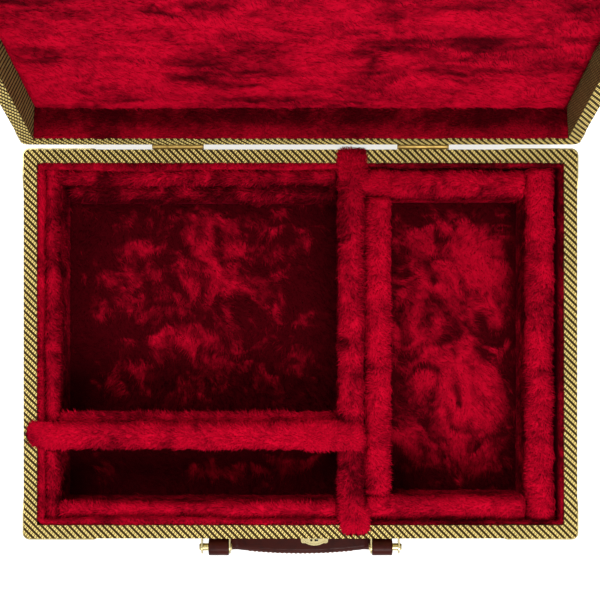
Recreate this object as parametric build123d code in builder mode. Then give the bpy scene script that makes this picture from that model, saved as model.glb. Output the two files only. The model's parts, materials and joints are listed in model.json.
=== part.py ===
from build123d import *

import os
from math import cos, radians, sin

# Small instrument case with a hinged lid, plush-lined compartments, a sprung lock and a drop handle.
# All sizes are in millimetres. The origin is the centre of the underside, +Z is up and -Y is the
# front, where the handle is. The lid stands open, leaning back on the stops of its hinges.

# Shells: a base tray and a lid tray of thin boards, covered with woven cloth on both sides
case_length = 380.0
case_width = 267.0
base_depth = 66.0
lid_depth = 30.0
rim_gap = 0.3
corner_radius = 4.0
board = 7.7
panel = 4.0
cloth = 0.65
lid_lean = 12.25

# Plush linings and padded strips
wall_plush = 2.0
wall_plush_drop = 1.5
floor_plush = 3.0
lid_pad = 4.0
pad_crown = 5.0
crown_share = 0.42
pad_drop = 6.0
divider_rise = 2.0
plush_gap = 0.3

# Left side: a main bay, and a narrow bay in front of it
left_pad = 12.0
back_pad = 12.5
front_pad = 13.8
main_bay_length = 192.7
front_bay_width = 36.0
long_divider_width = 18.3
cross_divider_width = 19.2

# Right side: a ring of four padded strips round one bay
ring_left = 18.5
ring_right = 20.0
ring_back = 19.0
ring_front = 17.2
ring_side_gap = 3.0
ring_back_gap = 1.3

# Pressed corner guards, held by nails
guard = 0.9
guard_front_leg = 49.0
guard_side_leg = 29.0
guard_side_leg_at_rim = 17.0
guard_scallop = 5.0
guard_scallop_middle = 1.25
guard_rim_inset = 0.4
guard_far_inset = 1.5
guard_corner = 3.0
nail_head_radius = 1.5
nail_head = 0.6
nail_head_taper = 40.0
nail_radius = 0.6
nail_length = 5.0
nail_inset = 7.0
nail_play = 0.1
nail_row_spacing = 30.0

# Nails and rivets have few sides, to keep the model light
fastener_sides = 8

# Hinges
hinge_offset = 84.0
hinge_width = 33.6
hinge_setback = 2.3
knuckle_radius = 2.25
knuckle_count = 3
knuckle_gap = 0.15
hinge_pin_radius = 1.1
hinge_pin_head = 0.8
pin_head_sides = 16
leaf = 0.9
leaf_drop = 22.0
stop_reach = 0.9
stop_height = 1.0
stop_start = 2.9
stop_play = 0.05
leaf_rivet_spacing = 20.0
leaf_rivet_drop = 13.0

# Handle: a padded grip with two legs that hang from pins in brackets
handle_reach = 9.0
handle_height = 44.0
leg_offset = 57.3
leg_width = 14.4
leg_thickness = 11.0
leg_ring_radius = 6.0
leg_side_gap = 0.15
leg_bevel = 2.4
grip_drop = 28.0
grip_bend = 12.0
grip_middle_height = 18.0
grip_middle_thickness = 16.0
handle_pin_radius = 1.6
handle_pin_head_radius = 2.8
handle_pin_head = 1.5
handle_pin_head_taper = 25.0
collar_radius = 2.6
collar_length = 3.9
bracket = 1.2
bracket_height = 24.0
bracket_rivet_inset = 2.7
ear = 0.9
ear_radius = 4.8
pin_play = 0.06

# Lock on the front wall, with a sprung slide and two slots for the prongs of the strike
lock_offset = 9.6
lock_width = 19.5
lock_reach = 4.8
lock_body_reach = 3.4
lock_body_width = 18.5
lock_drop = 0.6
lock_flange = 1.2
lock_border = 0.9
lock_border_rise = 0.4
lock_body_height = 20.0
lock_ear_height = 6.0
lock_back = 0.6
lock_front = 0.8
lock_side = 1.2
lock_corner = 1.5
slot_inner_offset = -2.16
slot_outer_offset = 1.3
prong_inner_width = 1.0
prong_outer_width = 2.0
prong = 0.9
prong_stand = 0.75
prong_play = 0.25
prong_length = 9.0
catch_drop = 3.5
catch_height = 2.0
catch_depth = 1.2
slide_travel = 2.5
slide = 1.0
slide_play = 0.3
slide_upright = 2.4
slide_bar_drop = 11.0
slide_bar_height = 5.0
slide_bar_left = 5.0
button_width = 8.0
button_height = 6.0
button = 0.9
button_rib = 0.35
button_rib_count = 3
button_rib_spacing = 2.0
button_rib_width = 0.8
button_rib_height = 3.0
stem_width = 3.0
stem_height = 2.5
stem_play = 0.2
spring_strip = 0.3
spring_folds = 5
strike_width = 16.0
strike_height = 16.0
strike_step = 2.9
strike_lip = 0.5
rivet_radius = 0.8
rivet_head_radius = 1.6
rivet_head = 0.7
rivet_head_taper = 35.0
rivet_length = 4.0
lock_rivet_spacing = 9.0

# Places that follow from the sizes
wall = board + 2 * cloth
inner_length = case_length - 2 * wall
inner_width = case_width - 2 * wall
back_face = case_width / 2
floor_top = cloth + panel + floor_plush
lined_right = inner_length / 2 - wall_plush
lined_back = inner_width / 2 - wall_plush
wall_pad_top = base_depth - pad_drop
divider_top = base_depth + divider_rise

main_left = -lined_right + left_pad
main_right = main_left + main_bay_length
divider_right = main_right + long_divider_width
main_back = lined_back - back_pad
front_bay_front = -lined_back + front_pad
cross_front = front_bay_front + front_bay_width
cross_back = cross_front + cross_divider_width

ring_outer_left = divider_right + plush_gap
ring_outer_right = lined_right - ring_side_gap
ring_outer_back = lined_back - ring_back_gap
ring_outer_front = -lined_back + plush_gap
right_bay_left = ring_outer_left + ring_left
right_bay_right = ring_outer_right - ring_right
right_bay_back = ring_outer_back - ring_back
right_bay_front = ring_outer_front + ring_front

# Each tray has a plane on its rim, with the tray's depth along the plane's own Z
open_angle = radians(90 + lid_lean)
pin_y = back_face + hinge_setback
pin_z = base_depth + rim_gap / 2
pin_axis = Vector(0, pin_y, pin_z)
lid_back_dir = Vector(0, cos(open_angle), -sin(open_angle))
lid_up_dir = Vector(0, sin(open_angle), cos(open_angle))
lid_centre = pin_axis - lid_back_dir * pin_y + lid_up_dir * (rim_gap / 2)
base_rim = Plane(origin=(0, 0, base_depth), x_dir=(1, 0, 0), z_dir=(0, 0, -1))
lid_rim = Plane(origin=lid_centre, x_dir=(1, 0, 0), z_dir=lid_up_dir)

os.makedirs("parts", exist_ok=True)


def save(piece, name):
    """Labels a finished piece and writes it to its own file."""
    piece.part.label = name
    export_step(piece.part, f"parts/{name}.step")


def along_x(frame, x=0.0):
    """A plane across a tray or hinge frame, whose own X and Y are the frame's Y and Z."""
    place = frame.from_local_coords((x, 0, 0))
    return Plane(origin=place, x_dir=frame.y_dir, z_dir=frame.x_dir)


def slab(rim, low, high):
    """A board between two corners given in a tray's own frame."""
    with BuildPart() as piece:
        with BuildSketch(rim.offset(low[2])):
            with Locations(((high[0] + low[0]) / 2, (high[1] + low[1]) / 2)):
                Rectangle(high[0] - low[0], high[1] - low[1])
        extrude(amount=high[2] - low[2])
    return piece


def long_board(rim, side, depth):
    """The board along the front or back of a tray, with its outer corners rounded."""
    outer = back_face - cloth
    with BuildPart() as piece:
        with BuildSketch(rim.offset(cloth)):
            with Locations((0, side * (outer - board / 2))):
                Rectangle(case_length - 2 * cloth, board)
            corners = vertices().sort_by(lambda v: side * v.Y)[-2:]
            fillet(corners, corner_radius - cloth)
        extrude(amount=depth - 2 * cloth)
    return piece


def cloth_wrap(rim, depth):
    """The woven cloth round a tray: down the outside, over the rim and down the inside."""
    with BuildPart() as piece:
        with BuildSketch(rim):
            RectangleRounded(case_length, case_width, corner_radius)
            Rectangle(inner_length, inner_width, mode=Mode.SUBTRACT)
        extrude(amount=depth - cloth)
        with BuildSketch(rim.offset(cloth)):
            RectangleRounded(
                case_length - 2 * cloth, case_width - 2 * cloth, corner_radius - cloth
            )
            Rectangle(inner_length + 2 * cloth, inner_width + 2 * cloth, mode=Mode.SUBTRACT)
        extrude(amount=depth, mode=Mode.SUBTRACT)
        with BuildSketch(rim.offset(depth - cloth - panel)):
            Rectangle(inner_length + 2 * cloth, inner_width + 2 * cloth)
        extrude(amount=depth, mode=Mode.SUBTRACT)
    return piece


def flat_cloth(rim, depth):
    """The flat cloth on the closed side of a tray."""
    with BuildPart() as piece:
        with BuildSketch(rim.offset(depth - cloth)):
            RectangleRounded(case_length, case_width, corner_radius)
        extrude(amount=cloth)
    return piece


def nail_places(depth, side_x, side_y):
    """Where a guard is nailed, each as (x, y, depth, outward x, outward y) in the tray's frame."""
    drops = (nail_inset, depth - nail_inset)
    if drops[1] - drops[0] < nail_row_spacing:
        drops = (depth / 2,)
    places = []
    for drop in drops:
        front_x = case_length / 2 - guard_front_leg + nail_inset
        side_place = case_width / 2 - guard_side_leg + nail_inset
        places.append((side_x * front_x, side_y * (back_face + guard), drop, 0, side_y))
        places.append(
            (side_x * (case_length / 2 + guard), side_y * side_place, drop, side_x, 0)
        )
    return places


def nail_plane(rim, place):
    """A plane on a guard's outer face, facing outwards, where a nail goes in."""
    x, y, drop, out_x, out_y = place
    outward = rim.x_dir * out_x + rim.y_dir * out_y
    return Plane(origin=rim.from_local_coords((x, y, drop)), z_dir=outward)


def corner_guard(rim, depth, side_x, side_y):
    """An L of thin brass round one corner, scalloped where its side leg meets the rim."""
    height = depth - guard_rim_inset - guard_far_inset
    side_end = case_width / 2 - guard_side_leg
    scallop_end = case_width / 2 - guard_side_leg_at_rim
    with BuildPart() as piece:
        with BuildSketch(rim.offset(guard_rim_inset)):
            RectangleRounded(
                case_length + 2 * guard, case_width + 2 * guard, corner_radius + guard
            )
            RectangleRounded(case_length, case_width, corner_radius, mode=Mode.SUBTRACT)
            with Locations((side_x * case_length / 2, side_y * case_width / 2)):
                Rectangle(2 * guard_front_leg, 2 * guard_side_leg, mode=Mode.INTERSECT)
        extrude(amount=height)
        with BuildSketch(along_x(rim.offset(guard_rim_inset))):
            with BuildLine():
                beyond = side_end - guard
                rim_edge = Line((side_y * scallop_end, 0), (side_y * beyond, 0))
                down = Line(rim_edge @ 1, (side_y * beyond, guard_scallop))
                back = Line(down @ 1, (side_y * side_end, guard_scallop))
                middle = (side_y * (side_end + scallop_end) / 2, guard_scallop_middle)
                ThreePointArc(back @ 1, middle, rim_edge @ 0)
            make_face()
        reach = side_x * (case_length / 2 + 2 * guard)
        extrude(amount=reach, mode=Mode.SUBTRACT)
        front_end = side_x * (case_length / 2 - guard_front_leg)
        front_edges = [
            edge
            for edge in piece.edges().filter_by(GeomType.LINE)
            if abs(edge.length - guard) < guard / 10
            and abs((edge.center() - rim.from_local_coords((front_end, 0, 0))).X) < guard
        ]
        fillet(front_edges, guard_corner)
        for place in nail_places(depth, side_x, side_y):
            with BuildSketch(nail_plane(rim, place)):
                RegularPolygon(nail_radius + nail_play, fastener_sides)
            extrude(amount=-2 * guard, mode=Mode.SUBTRACT)
    return piece


def nails(rim, depth):
    """All the nails of one tray's guards."""
    with BuildPart() as piece:
        for side_x in (-1, 1):
            for side_y in (-1, 1):
                for place in nail_places(depth, side_x, side_y):
                    seat = nail_plane(rim, place)
                    with BuildSketch(seat):
                        RegularPolygon(nail_head_radius, fastener_sides)
                    extrude(amount=nail_head, taper=nail_head_taper)
                    with BuildSketch(seat):
                        RegularPolygon(nail_radius, fastener_sides)
                    extrude(amount=-nail_length)
    return piece


def rivets(planes):
    """Round-headed rivets, one on each plane, with their shanks behind it."""
    with BuildPart() as piece:
        for seat in planes:
            with BuildSketch(seat):
                RegularPolygon(rivet_head_radius, fastener_sides)
            extrude(amount=rivet_head, taper=rivet_head_taper)
            with BuildSketch(seat):
                RegularPolygon(rivet_radius, fastener_sides)
            extrude(amount=-rivet_length)
    return piece


def padded_strip(low, high, top):
    """A plush-covered strip that stands on the floor lining, with a crowned top."""
    length = high[0] - low[0]
    width = high[1] - low[1]
    with BuildPart() as piece:
        with BuildSketch(Plane.XY.offset(floor_top)):
            with Locations(((low[0] + high[0]) / 2, (low[1] + high[1]) / 2)):
                Rectangle(length, width)
        extrude(amount=top - floor_top)
        crown = min(pad_crown, crown_share * min(length, width))
        fillet(piece.faces().sort_by(Axis.Z)[-1].edges(), crown)
    return piece


def hinge_frame(rim, x, leaf_dir):
    """A frame on the hinge pin at x, with Y outwards from the case's back and Z along the leaf."""
    place = pin_axis + Vector(x, 0, 0)
    outward = rim.y_dir * leaf_dir
    return Plane(origin=place, x_dir=outward.cross(rim.z_dir), z_dir=rim.z_dir)


def knuckle_spans(own):
    """The start along the hinge of each knuckle on one leaf, and of each on the other leaf."""
    step = hinge_width / knuckle_count
    starts = [-hinge_width / 2 + i * step for i in range(knuckle_count)]
    return starts[own::2], starts[1 - own :: 2]


def hinge_leaf(frame, own):
    """One leaf of a hinge: a plate on the back of its tray with knuckles curled round the pin."""
    step = hinge_width / knuckle_count
    mine, _ = knuckle_spans(own)
    clear = knuckle_radius - knuckle_gap
    with BuildPart() as piece:
        with BuildSketch(along_x(frame, -hinge_width / 2)):
            with Locations((-hinge_setback + leaf / 2, (leaf_drop + clear) / 2)):
                Rectangle(leaf, leaf_drop - clear)
        extrude(amount=hinge_width)
        far_corners = piece.edges().filter_by(
            lambda e: abs(e.length - leaf) < leaf / 10
            and frame.to_local_coords(e.center()).Z > leaf_drop - leaf
        )
        fillet(far_corners, guard_corner)
        for start in mine:
            with BuildSketch(along_x(frame, start + knuckle_gap / 2)):
                Circle(knuckle_radius)
                with Locations((-hinge_setback + leaf / 2, knuckle_radius / 2)):
                    Rectangle(leaf, knuckle_radius)
                Circle(hinge_pin_radius + pin_play, mode=Mode.SUBTRACT)
            extrude(amount=step - knuckle_gap)
        for place in leaf_rivet_planes(frame):
            with BuildSketch(place):
                RegularPolygon(rivet_radius + nail_play, fastener_sides)
            extrude(amount=-leaf, mode=Mode.SUBTRACT)
    return piece


def leaf_rivet_planes(frame):
    """Where the rivets of a hinge leaf sit, on its outer face."""
    height = -hinge_setback + leaf
    return [
        Plane(
            origin=frame.from_local_coords((x, height, leaf_rivet_drop)), z_dir=frame.y_dir
        )
        for x in (-leaf_rivet_spacing / 2, leaf_rivet_spacing / 2)
    ]


# Base tray
base_boards = {
    "front": long_board(base_rim, 1, base_depth),
    "back": long_board(base_rim, -1, base_depth),
}
lid_boards = {
    "front": long_board(lid_rim, -1, lid_depth),
    "back": long_board(lid_rim, 1, lid_depth),
}
end_y = inner_width / 2 + cloth
for boards, rim, depth in (
    (base_boards, base_rim, base_depth),
    (lid_boards, lid_rim, lid_depth),
):
    end_x = case_length / 2 - cloth
    boards["left"] = slab(
        rim, (-end_x, -end_y, cloth), (board - end_x, end_y, depth - cloth)
    )
    boards["right"] = slab(
        rim, (end_x - board, -end_y, cloth), (end_x, end_y, depth - cloth)
    )
panel_x = inner_length / 2 + cloth
base_boards["bottom"] = slab(
    base_rim,
    (-panel_x, -end_y, base_depth - cloth - panel),
    (panel_x, end_y, base_depth - cloth),
)
lid_boards["top"] = slab(
    lid_rim,
    (-panel_x, -end_y, lid_depth - cloth - panel),
    (panel_x, end_y, lid_depth - cloth),
)
for side, piece in base_boards.items():
    save(piece, f"base_{side}_board")
for side, piece in lid_boards.items():
    save(piece, f"lid_{side}_board")

save(cloth_wrap(base_rim, base_depth), "base_tweed_wrap")
save(cloth_wrap(lid_rim, lid_depth), "lid_tweed_wrap")
save(flat_cloth(base_rim, base_depth), "base_bottom_tweed")
save(flat_cloth(lid_rim, lid_depth), "lid_top_tweed")

# Corner guards and their nails. The base's frame has its Y towards the front, the lid's to the back.
for tray, rim, depth, front in (
    ("base", base_rim, base_depth, 1),
    ("lid", lid_rim, lid_depth, -1),
):
    for end, side_y in (("front", front), ("back", -front)):
        for side, side_x in (("left", -1), ("right", 1)):
            guard_piece = corner_guard(rim, depth, side_x, side_y)
            save(guard_piece, f"{tray}_guard_{end}_{side}")
    save(nails(rim, depth), f"{tray}_guard_nails")

# Linings of the base
with BuildPart() as base_floor_lining:
    with BuildSketch(Plane.XY.offset(floor_top - floor_plush)):
        Rectangle(inner_length, inner_width)
    extrude(amount=floor_plush)
save(base_floor_lining, "base_floor_lining")

with BuildPart() as base_wall_lining:
    with BuildSketch(Plane.XY.offset(floor_top)):
        Rectangle(inner_length, inner_width)
        Rectangle(2 * lined_right, 2 * lined_back, mode=Mode.SUBTRACT)
    extrude(amount=base_depth - wall_plush_drop - floor_top)
save(base_wall_lining, "base_wall_lining")

# Padded strips and dividers, each as (name, low corner, high corner, top)
strips = (
    ("left_wall_pad", (-lined_right, cross_back), (main_left, lined_back), wall_pad_top),
    ("front_bay_left_pad", (-lined_right, -lined_back), (main_left, cross_front), wall_pad_top),
    ("back_wall_pad", (main_left, main_back), (main_right, lined_back), wall_pad_top),
    ("front_wall_pad", (main_left, -lined_back), (main_right, front_bay_front), wall_pad_top),
    (
        "long_divider",
        (main_right, -lined_back + plush_gap),
        (divider_right, lined_back - plush_gap),
        divider_top,
    ),
    ("cross_divider", (-lined_right, cross_front), (main_right, cross_back), divider_top),
    (
        "right_bay_left_pad",
        (ring_outer_left, right_bay_front),
        (right_bay_left, right_bay_back),
        wall_pad_top,
    ),
    (
        "right_bay_right_pad",
        (right_bay_right, ring_outer_front),
        (ring_outer_right, ring_outer_back),
        wall_pad_top,
    ),
    (
        "right_bay_back_pad",
        (ring_outer_left, right_bay_back),
        (right_bay_right, ring_outer_back),
        wall_pad_top,
    ),
    (
        "right_bay_front_pad",
        (ring_outer_left, ring_outer_front),
        (right_bay_right, right_bay_front),
        wall_pad_top,
    ),
)
for name, low, high, top in strips:
    save(padded_strip(low, high, top), name)

# Lining of the lid: a padded panel on the closed side, and plush on the front and back walls only
lid_inside = lid_depth - cloth - panel
with BuildPart() as lid_top_pad:
    with BuildSketch(lid_rim.offset(lid_inside)):
        Rectangle(inner_length, inner_width)
    extrude(amount=-lid_pad)
    pad_face = lid_top_pad.faces().sort_by(Axis(lid_centre, lid_up_dir))[0]
    fillet(pad_face.edges(), crown_share * lid_pad)
save(lid_top_pad, "lid_top_pad")

with BuildPart() as lid_wall_lining:
    with BuildSketch(lid_rim.offset(wall_plush_drop)):
        for side in (-1, 1):
            with Locations((0, side * (inner_width - wall_plush) / 2)):
                Rectangle(inner_length, wall_plush)
    extrude(amount=lid_inside - lid_pad - wall_plush_drop)
save(lid_wall_lining, "lid_wall_lining")

# Hinges. The stop tab of the base leaf meets a fin on the lid's knuckle when the lid is open.
base_leaf_planes = []
lid_leaf_planes = []
for side, side_x in (("left", -1), ("right", 1)):
    base_frame = hinge_frame(base_rim, side_x * hinge_offset, -1)
    lid_frame = hinge_frame(lid_rim, side_x * hinge_offset, 1)
    base_leaf_planes += leaf_rivet_planes(base_frame)
    lid_leaf_planes += leaf_rivet_planes(lid_frame)
    knuckle_step = hinge_width / knuckle_count
    lid_knuckles = [start + knuckle_gap / 2 for start in knuckle_spans(1)[0]]

    with BuildPart() as base_leaf:
        add(hinge_leaf(base_frame, 0))
        for start in lid_knuckles:
            with BuildSketch(along_x(base_frame, start)):
                tab_start = -hinge_setback
                tab_middle = (tab_start + stop_reach) / 2
                with Locations((tab_middle, stop_start + stop_height / 2)):
                    Rectangle(stop_reach - tab_start, stop_height)
            extrude(amount=knuckle_step - knuckle_gap)
    save(base_leaf, f"hinge_base_leaf_{side}")

    with BuildPart() as lid_leaf:
        add(hinge_leaf(lid_frame, 1))
        for start in lid_knuckles:
            with BuildSketch(along_x(base_frame, start)):
                fin_top = stop_start + stop_height
                fin_root = hinge_pin_radius + leaf / 2
                fin_middle = stop_reach + stop_play + leaf / 2
                with Locations((fin_middle, (fin_top + fin_root) / 2)):
                    Rectangle(leaf, fin_top - fin_root)
            extrude(amount=knuckle_step - knuckle_gap)
    save(lid_leaf, f"hinge_lid_leaf_{side}")

    pin_end = along_x(base_frame, -hinge_width / 2 - hinge_pin_head)
    with BuildPart() as hinge_pin:
        with BuildSketch(pin_end):
            Circle(hinge_pin_radius)
        extrude(amount=hinge_width + 2 * hinge_pin_head)
        with BuildSketch(pin_end):
            RegularPolygon(knuckle_radius, pin_head_sides)
        extrude(amount=hinge_pin_head - knuckle_gap)
        with BuildSketch(along_x(base_frame, hinge_width / 2 + knuckle_gap)):
            RegularPolygon(knuckle_radius, pin_head_sides)
        extrude(amount=hinge_pin_head - knuckle_gap)
    save(hinge_pin, f"hinge_pin_{side}")

save(rivets(base_leaf_planes), "base_hinge_rivets")

# Handle: brackets with two ears and a pin each, legs that turn on the pins, and the grip
front_face = -back_face
handle_y = front_face - handle_reach
ear_inside = leg_offset - leg_width / 2 - leg_side_gap
ear_outside = leg_offset + leg_width / 2 + leg_side_gap + collar_length
bracket_planes = []
for side, side_x in (("left", -1), ("right", 1)):
    bracket_middle = side_x * (ear_inside + ear_outside) / 2
    bracket_width = ear_outside - ear_inside + 2 * ear
    rivet_drop = bracket_height / 2 - bracket_rivet_inset
    for rise in (-rivet_drop, rivet_drop):
        place = (bracket_middle, front_face - bracket, handle_height + rise)
        bracket_planes.append(Plane(origin=place, z_dir=(0, -1, 0)))

    pin_plane = Plane(
        origin=(0, handle_y, handle_height), x_dir=(0, side_x, 0), z_dir=(side_x, 0, 0)
    )
    with BuildPart() as handle_bracket:
        with BuildSketch(Plane.XZ.offset(back_face)):
            with Locations((bracket_middle, handle_height)):
                Rectangle(bracket_width, bracket_height)
            chamfer(vertices(), bracket)
        extrude(amount=bracket)
        for ear_start in (ear_inside - ear, ear_outside):
            with BuildSketch(pin_plane.offset(ear_start)):
                with Locations((side_x * handle_reach / 2, 0)):
                    Rectangle(handle_reach, 2 * ear_radius)
                Circle(ear_radius)
                Circle(handle_pin_radius + pin_play, mode=Mode.SUBTRACT)
            extrude(amount=ear)
        for place in bracket_planes[-2:]:
            with BuildSketch(place):
                RegularPolygon(rivet_radius + nail_play, fastener_sides)
            extrude(amount=-bracket, mode=Mode.SUBTRACT)
    save(handle_bracket, f"handle_bracket_{side}")

    with BuildPart() as handle_pin:
        with BuildSketch(pin_plane.offset(ear_inside - 2 * ear)):
            Circle(handle_pin_radius)
        extrude(amount=ear_outside - ear_inside + 3 * ear + pin_play)
        with BuildSketch(pin_plane.offset(ear_inside - 2 * ear)):
            RegularPolygon(collar_radius, fastener_sides)
        extrude(amount=ear - leg_side_gap)
        with BuildSketch(pin_plane.offset(ear_outside - collar_length)):
            Circle(collar_radius)
        extrude(amount=collar_length - leg_side_gap)
        with BuildSketch(pin_plane.offset(ear_outside + ear + pin_play)):
            RegularPolygon(handle_pin_head_radius, pin_head_sides)
        extrude(amount=handle_pin_head, taper=handle_pin_head_taper)
    save(handle_pin, f"handle_pin_{side}")

    grip_z = handle_height - grip_drop
    bend_x = side_x * (leg_offset - grip_bend)
    with BuildPart() as handle_leg:
        with BuildLine(Plane.XZ.offset(-handle_y)) as leg_route:
            hang = Line(
                (side_x * leg_offset, handle_height),
                (side_x * leg_offset, grip_z + grip_bend),
            )
            CenterArc(
                (bend_x, grip_z + grip_bend), grip_bend, 90 - 90 * side_x, -90 * side_x
            )
        top = Plane(
            origin=(side_x * leg_offset, handle_y, handle_height),
            x_dir=(1, 0, 0),
            z_dir=(0, 0, -1),
        )
        with BuildSketch(top):
            Rectangle(leg_width, leg_thickness)
            chamfer(vertices(), leg_bevel)
        sweep(path=leg_route.line)
        with BuildSketch(pin_plane.offset(leg_offset - leg_width / 2)):
            Circle(leg_ring_radius)
        extrude(amount=leg_width)
        with BuildSketch(pin_plane.offset(leg_offset - leg_width / 2)):
            Circle(handle_pin_radius + pin_play)
        extrude(amount=leg_width, mode=Mode.SUBTRACT)
    save(handle_leg, f"handle_leg_{side}")

# The grip is a barrel in both views, as wide at its ends as the legs that it meets
grip_end = leg_offset - grip_bend
grip_middle = (0, handle_y, grip_z)
grip_front_view = Plane(origin=grip_middle, x_dir=(1, 0, 0), z_dir=(0, -1, 0))
grip_top_view = Plane(origin=grip_middle, x_dir=(1, 0, 0), z_dir=(0, 0, 1))
with BuildPart() as handle_grip:
    for view, end_width, middle_width, mode in (
        (grip_front_view, leg_width, grip_middle_height, Mode.ADD),
        (grip_top_view, leg_thickness, grip_middle_thickness, Mode.INTERSECT),
    ):
        with BuildSketch(view):
            with BuildLine():
                high = ThreePointArc(
                    (-grip_end, end_width / 2), (0, middle_width / 2), (grip_end, end_width / 2)
                )
                low = ThreePointArc(
                    (grip_end, -end_width / 2), (0, -middle_width / 2), (-grip_end, -end_width / 2)
                )
                Line(high @ 1, low @ 0)
                Line(low @ 1, high @ 0)
            make_face()
        extrude(amount=grip_middle_height, both=True, mode=mode)
    chamfer(handle_grip.edges().filter_by(lambda e: e.length > grip_end), leg_bevel)
save(handle_grip, "handle_grip")

# Lock: a case with a half-round flange, a slide with its catch, a spring and a thumb button
lock_top = base_depth - lock_drop
lock_left = lock_offset - lock_width / 2
lock_right = lock_offset + lock_width / 2
body_top = lock_top - lock_flange
body_bottom = body_top - lock_body_height
cavity_half = lock_body_width / 2 - lock_side
cavity_back = front_face - lock_back
cavity_front = front_face - lock_body_reach + lock_front
slide_back = cavity_back - slide_play
slide_front = slide_back - slide
bar_top = lock_top - slide_bar_drop
bar_bottom = bar_top - slide_bar_height
bar_middle = (bar_top + bar_bottom) / 2
prong_outer_edge = lock_offset + slot_outer_offset + prong_outer_width / 2
upright_left = prong_outer_edge + slide_play
upright_right = upright_left + slide_upright
slots = (
    (lock_offset + slot_inner_offset, prong_inner_width),
    (lock_offset + slot_outer_offset, prong_outer_width),
)
prong_y = front_face - prong_stand - prong / 2
ear_rivets = [
    Plane(
        origin=(x, front_face - lock_back, body_bottom - lock_ear_height / 2),
        z_dir=(0, -1, 0),
    )
    for x in (lock_offset - lock_rivet_spacing / 2, lock_offset + lock_rivet_spacing / 2)
]

with BuildPart() as lock_case:
    with BuildSketch(Plane.XY.offset(body_bottom)):
        with Locations((lock_offset, front_face - lock_body_reach / 2)):
            Rectangle(lock_body_width, lock_body_reach)
        fillet(vertices().group_by(Axis.Y)[0], lock_corner)
    extrude(amount=lock_body_height)
    for inset, lift, mode in (
        (0, lock_flange + lock_border_rise, Mode.ADD),
        (lock_border, lock_border_rise, Mode.SUBTRACT),
    ):
        start = lock_top + lock_border_rise - lift
        with BuildSketch(Plane.XY.offset(start)):
            with BuildLine():
                chord = Line((lock_left + inset, front_face), (lock_right - inset, front_face))
                ThreePointArc(
                    chord @ 1, (lock_offset, front_face - lock_reach + inset), chord @ 0
                )
            make_face()
        extrude(amount=lift, mode=mode)
    with BuildSketch(Plane.XZ.offset(back_face)):
        with Locations((lock_offset, (body_top + body_bottom - lock_ear_height) / 2)):
            Rectangle(lock_width, lock_body_height + lock_ear_height)
        fillet(vertices().group_by(Axis.Z)[0], lock_corner)
    extrude(amount=lock_back)
    with BuildSketch(Plane.XY.offset(body_bottom + lock_side)):
        with Locations((lock_offset, (cavity_back + cavity_front) / 2)):
            Rectangle(2 * cavity_half, cavity_back - cavity_front)
    extrude(amount=lock_body_height - lock_side, mode=Mode.SUBTRACT)
    with BuildSketch(Plane.XY.offset(body_top)):
        for x, width in slots:
            with Locations((x, prong_y)):
                Rectangle(width + 2 * prong_play, prong + 2 * prong_play)
    extrude(amount=lock_flange, mode=Mode.SUBTRACT)
    with BuildSketch(Plane.XZ.offset(-cavity_front)):
        with Locations((lock_offset + slide_travel / 2, bar_middle)):
            SlotOverall(stem_width + slide_travel + 2 * stem_play, stem_height + 2 * stem_play)
    extrude(amount=lock_front, mode=Mode.SUBTRACT)
    for place in ear_rivets:
        with BuildSketch(place):
            RegularPolygon(rivet_radius + nail_play, fastener_sides)
        extrude(amount=-lock_back, mode=Mode.SUBTRACT)
save(lock_case, "lock_case")

with BuildPart() as lock_bolt:
    with BuildSketch(Plane.XZ.offset(-slide_back)):
        bar_left = lock_offset - slide_bar_left
        with Locations(((bar_left + upright_right) / 2, bar_middle)):
            Rectangle(upright_right - bar_left, slide_bar_height)
        upright_top = lock_top - catch_drop + slide_play
        with Locations(((upright_left + upright_right) / 2, (upright_top + bar_bottom) / 2)):
            Rectangle(slide_upright, upright_top - bar_bottom)
        nose_left = prong_outer_edge - catch_depth + slide_play
        nose_z = lock_top - catch_drop - catch_height / 2
        with Locations(((nose_left + upright_right) / 2, nose_z)):
            Rectangle(upright_right - nose_left, catch_height - 2 * prong_play)
    extrude(amount=slide)
save(lock_bolt, "lock_bolt")

with BuildPart() as lock_button:
    button_back = front_face - lock_body_reach - stem_play
    with BuildSketch(Plane.XZ.offset(-slide_front)):
        with Locations((lock_offset, bar_middle)):
            SlotOverall(stem_width, stem_height)
    extrude(amount=slide_front - button_back)
    with BuildSketch(Plane.XZ.offset(-button_back)):
        with Locations((lock_offset, bar_middle)):
            RectangleRounded(button_width, button_height, lock_corner)
    extrude(amount=button)
    with BuildSketch(Plane.XZ.offset(-button_back + button)):
        with Locations((lock_offset, bar_middle)):
            with GridLocations(button_rib_spacing, 0, button_rib_count, 1):
                Rectangle(button_rib_width, button_rib_height)
    extrude(amount=button_rib)
save(lock_button, "lock_button")

with BuildPart() as lock_spring:
    with BuildSketch(Plane.XZ.offset(-slide_back)):
        with BuildLine():
            spring_left = upright_right + spring_strip
            spring_right = lock_offset + cavity_half - spring_strip
            fold_step = (spring_right - spring_left) / (spring_folds - 1)
            fold_reach = slide_bar_height / 2 - spring_strip
            folds = [
                (spring_left + i * fold_step, bar_middle + fold_reach * (-1) ** i)
                for i in range(spring_folds)
            ]
            Polyline(*folds)
        trace(line_width=spring_strip)
    extrude(amount=slide)
save(lock_spring, "lock_spring")

save(rivets(bracket_planes + ear_rivets), "front_rivets")

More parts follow.
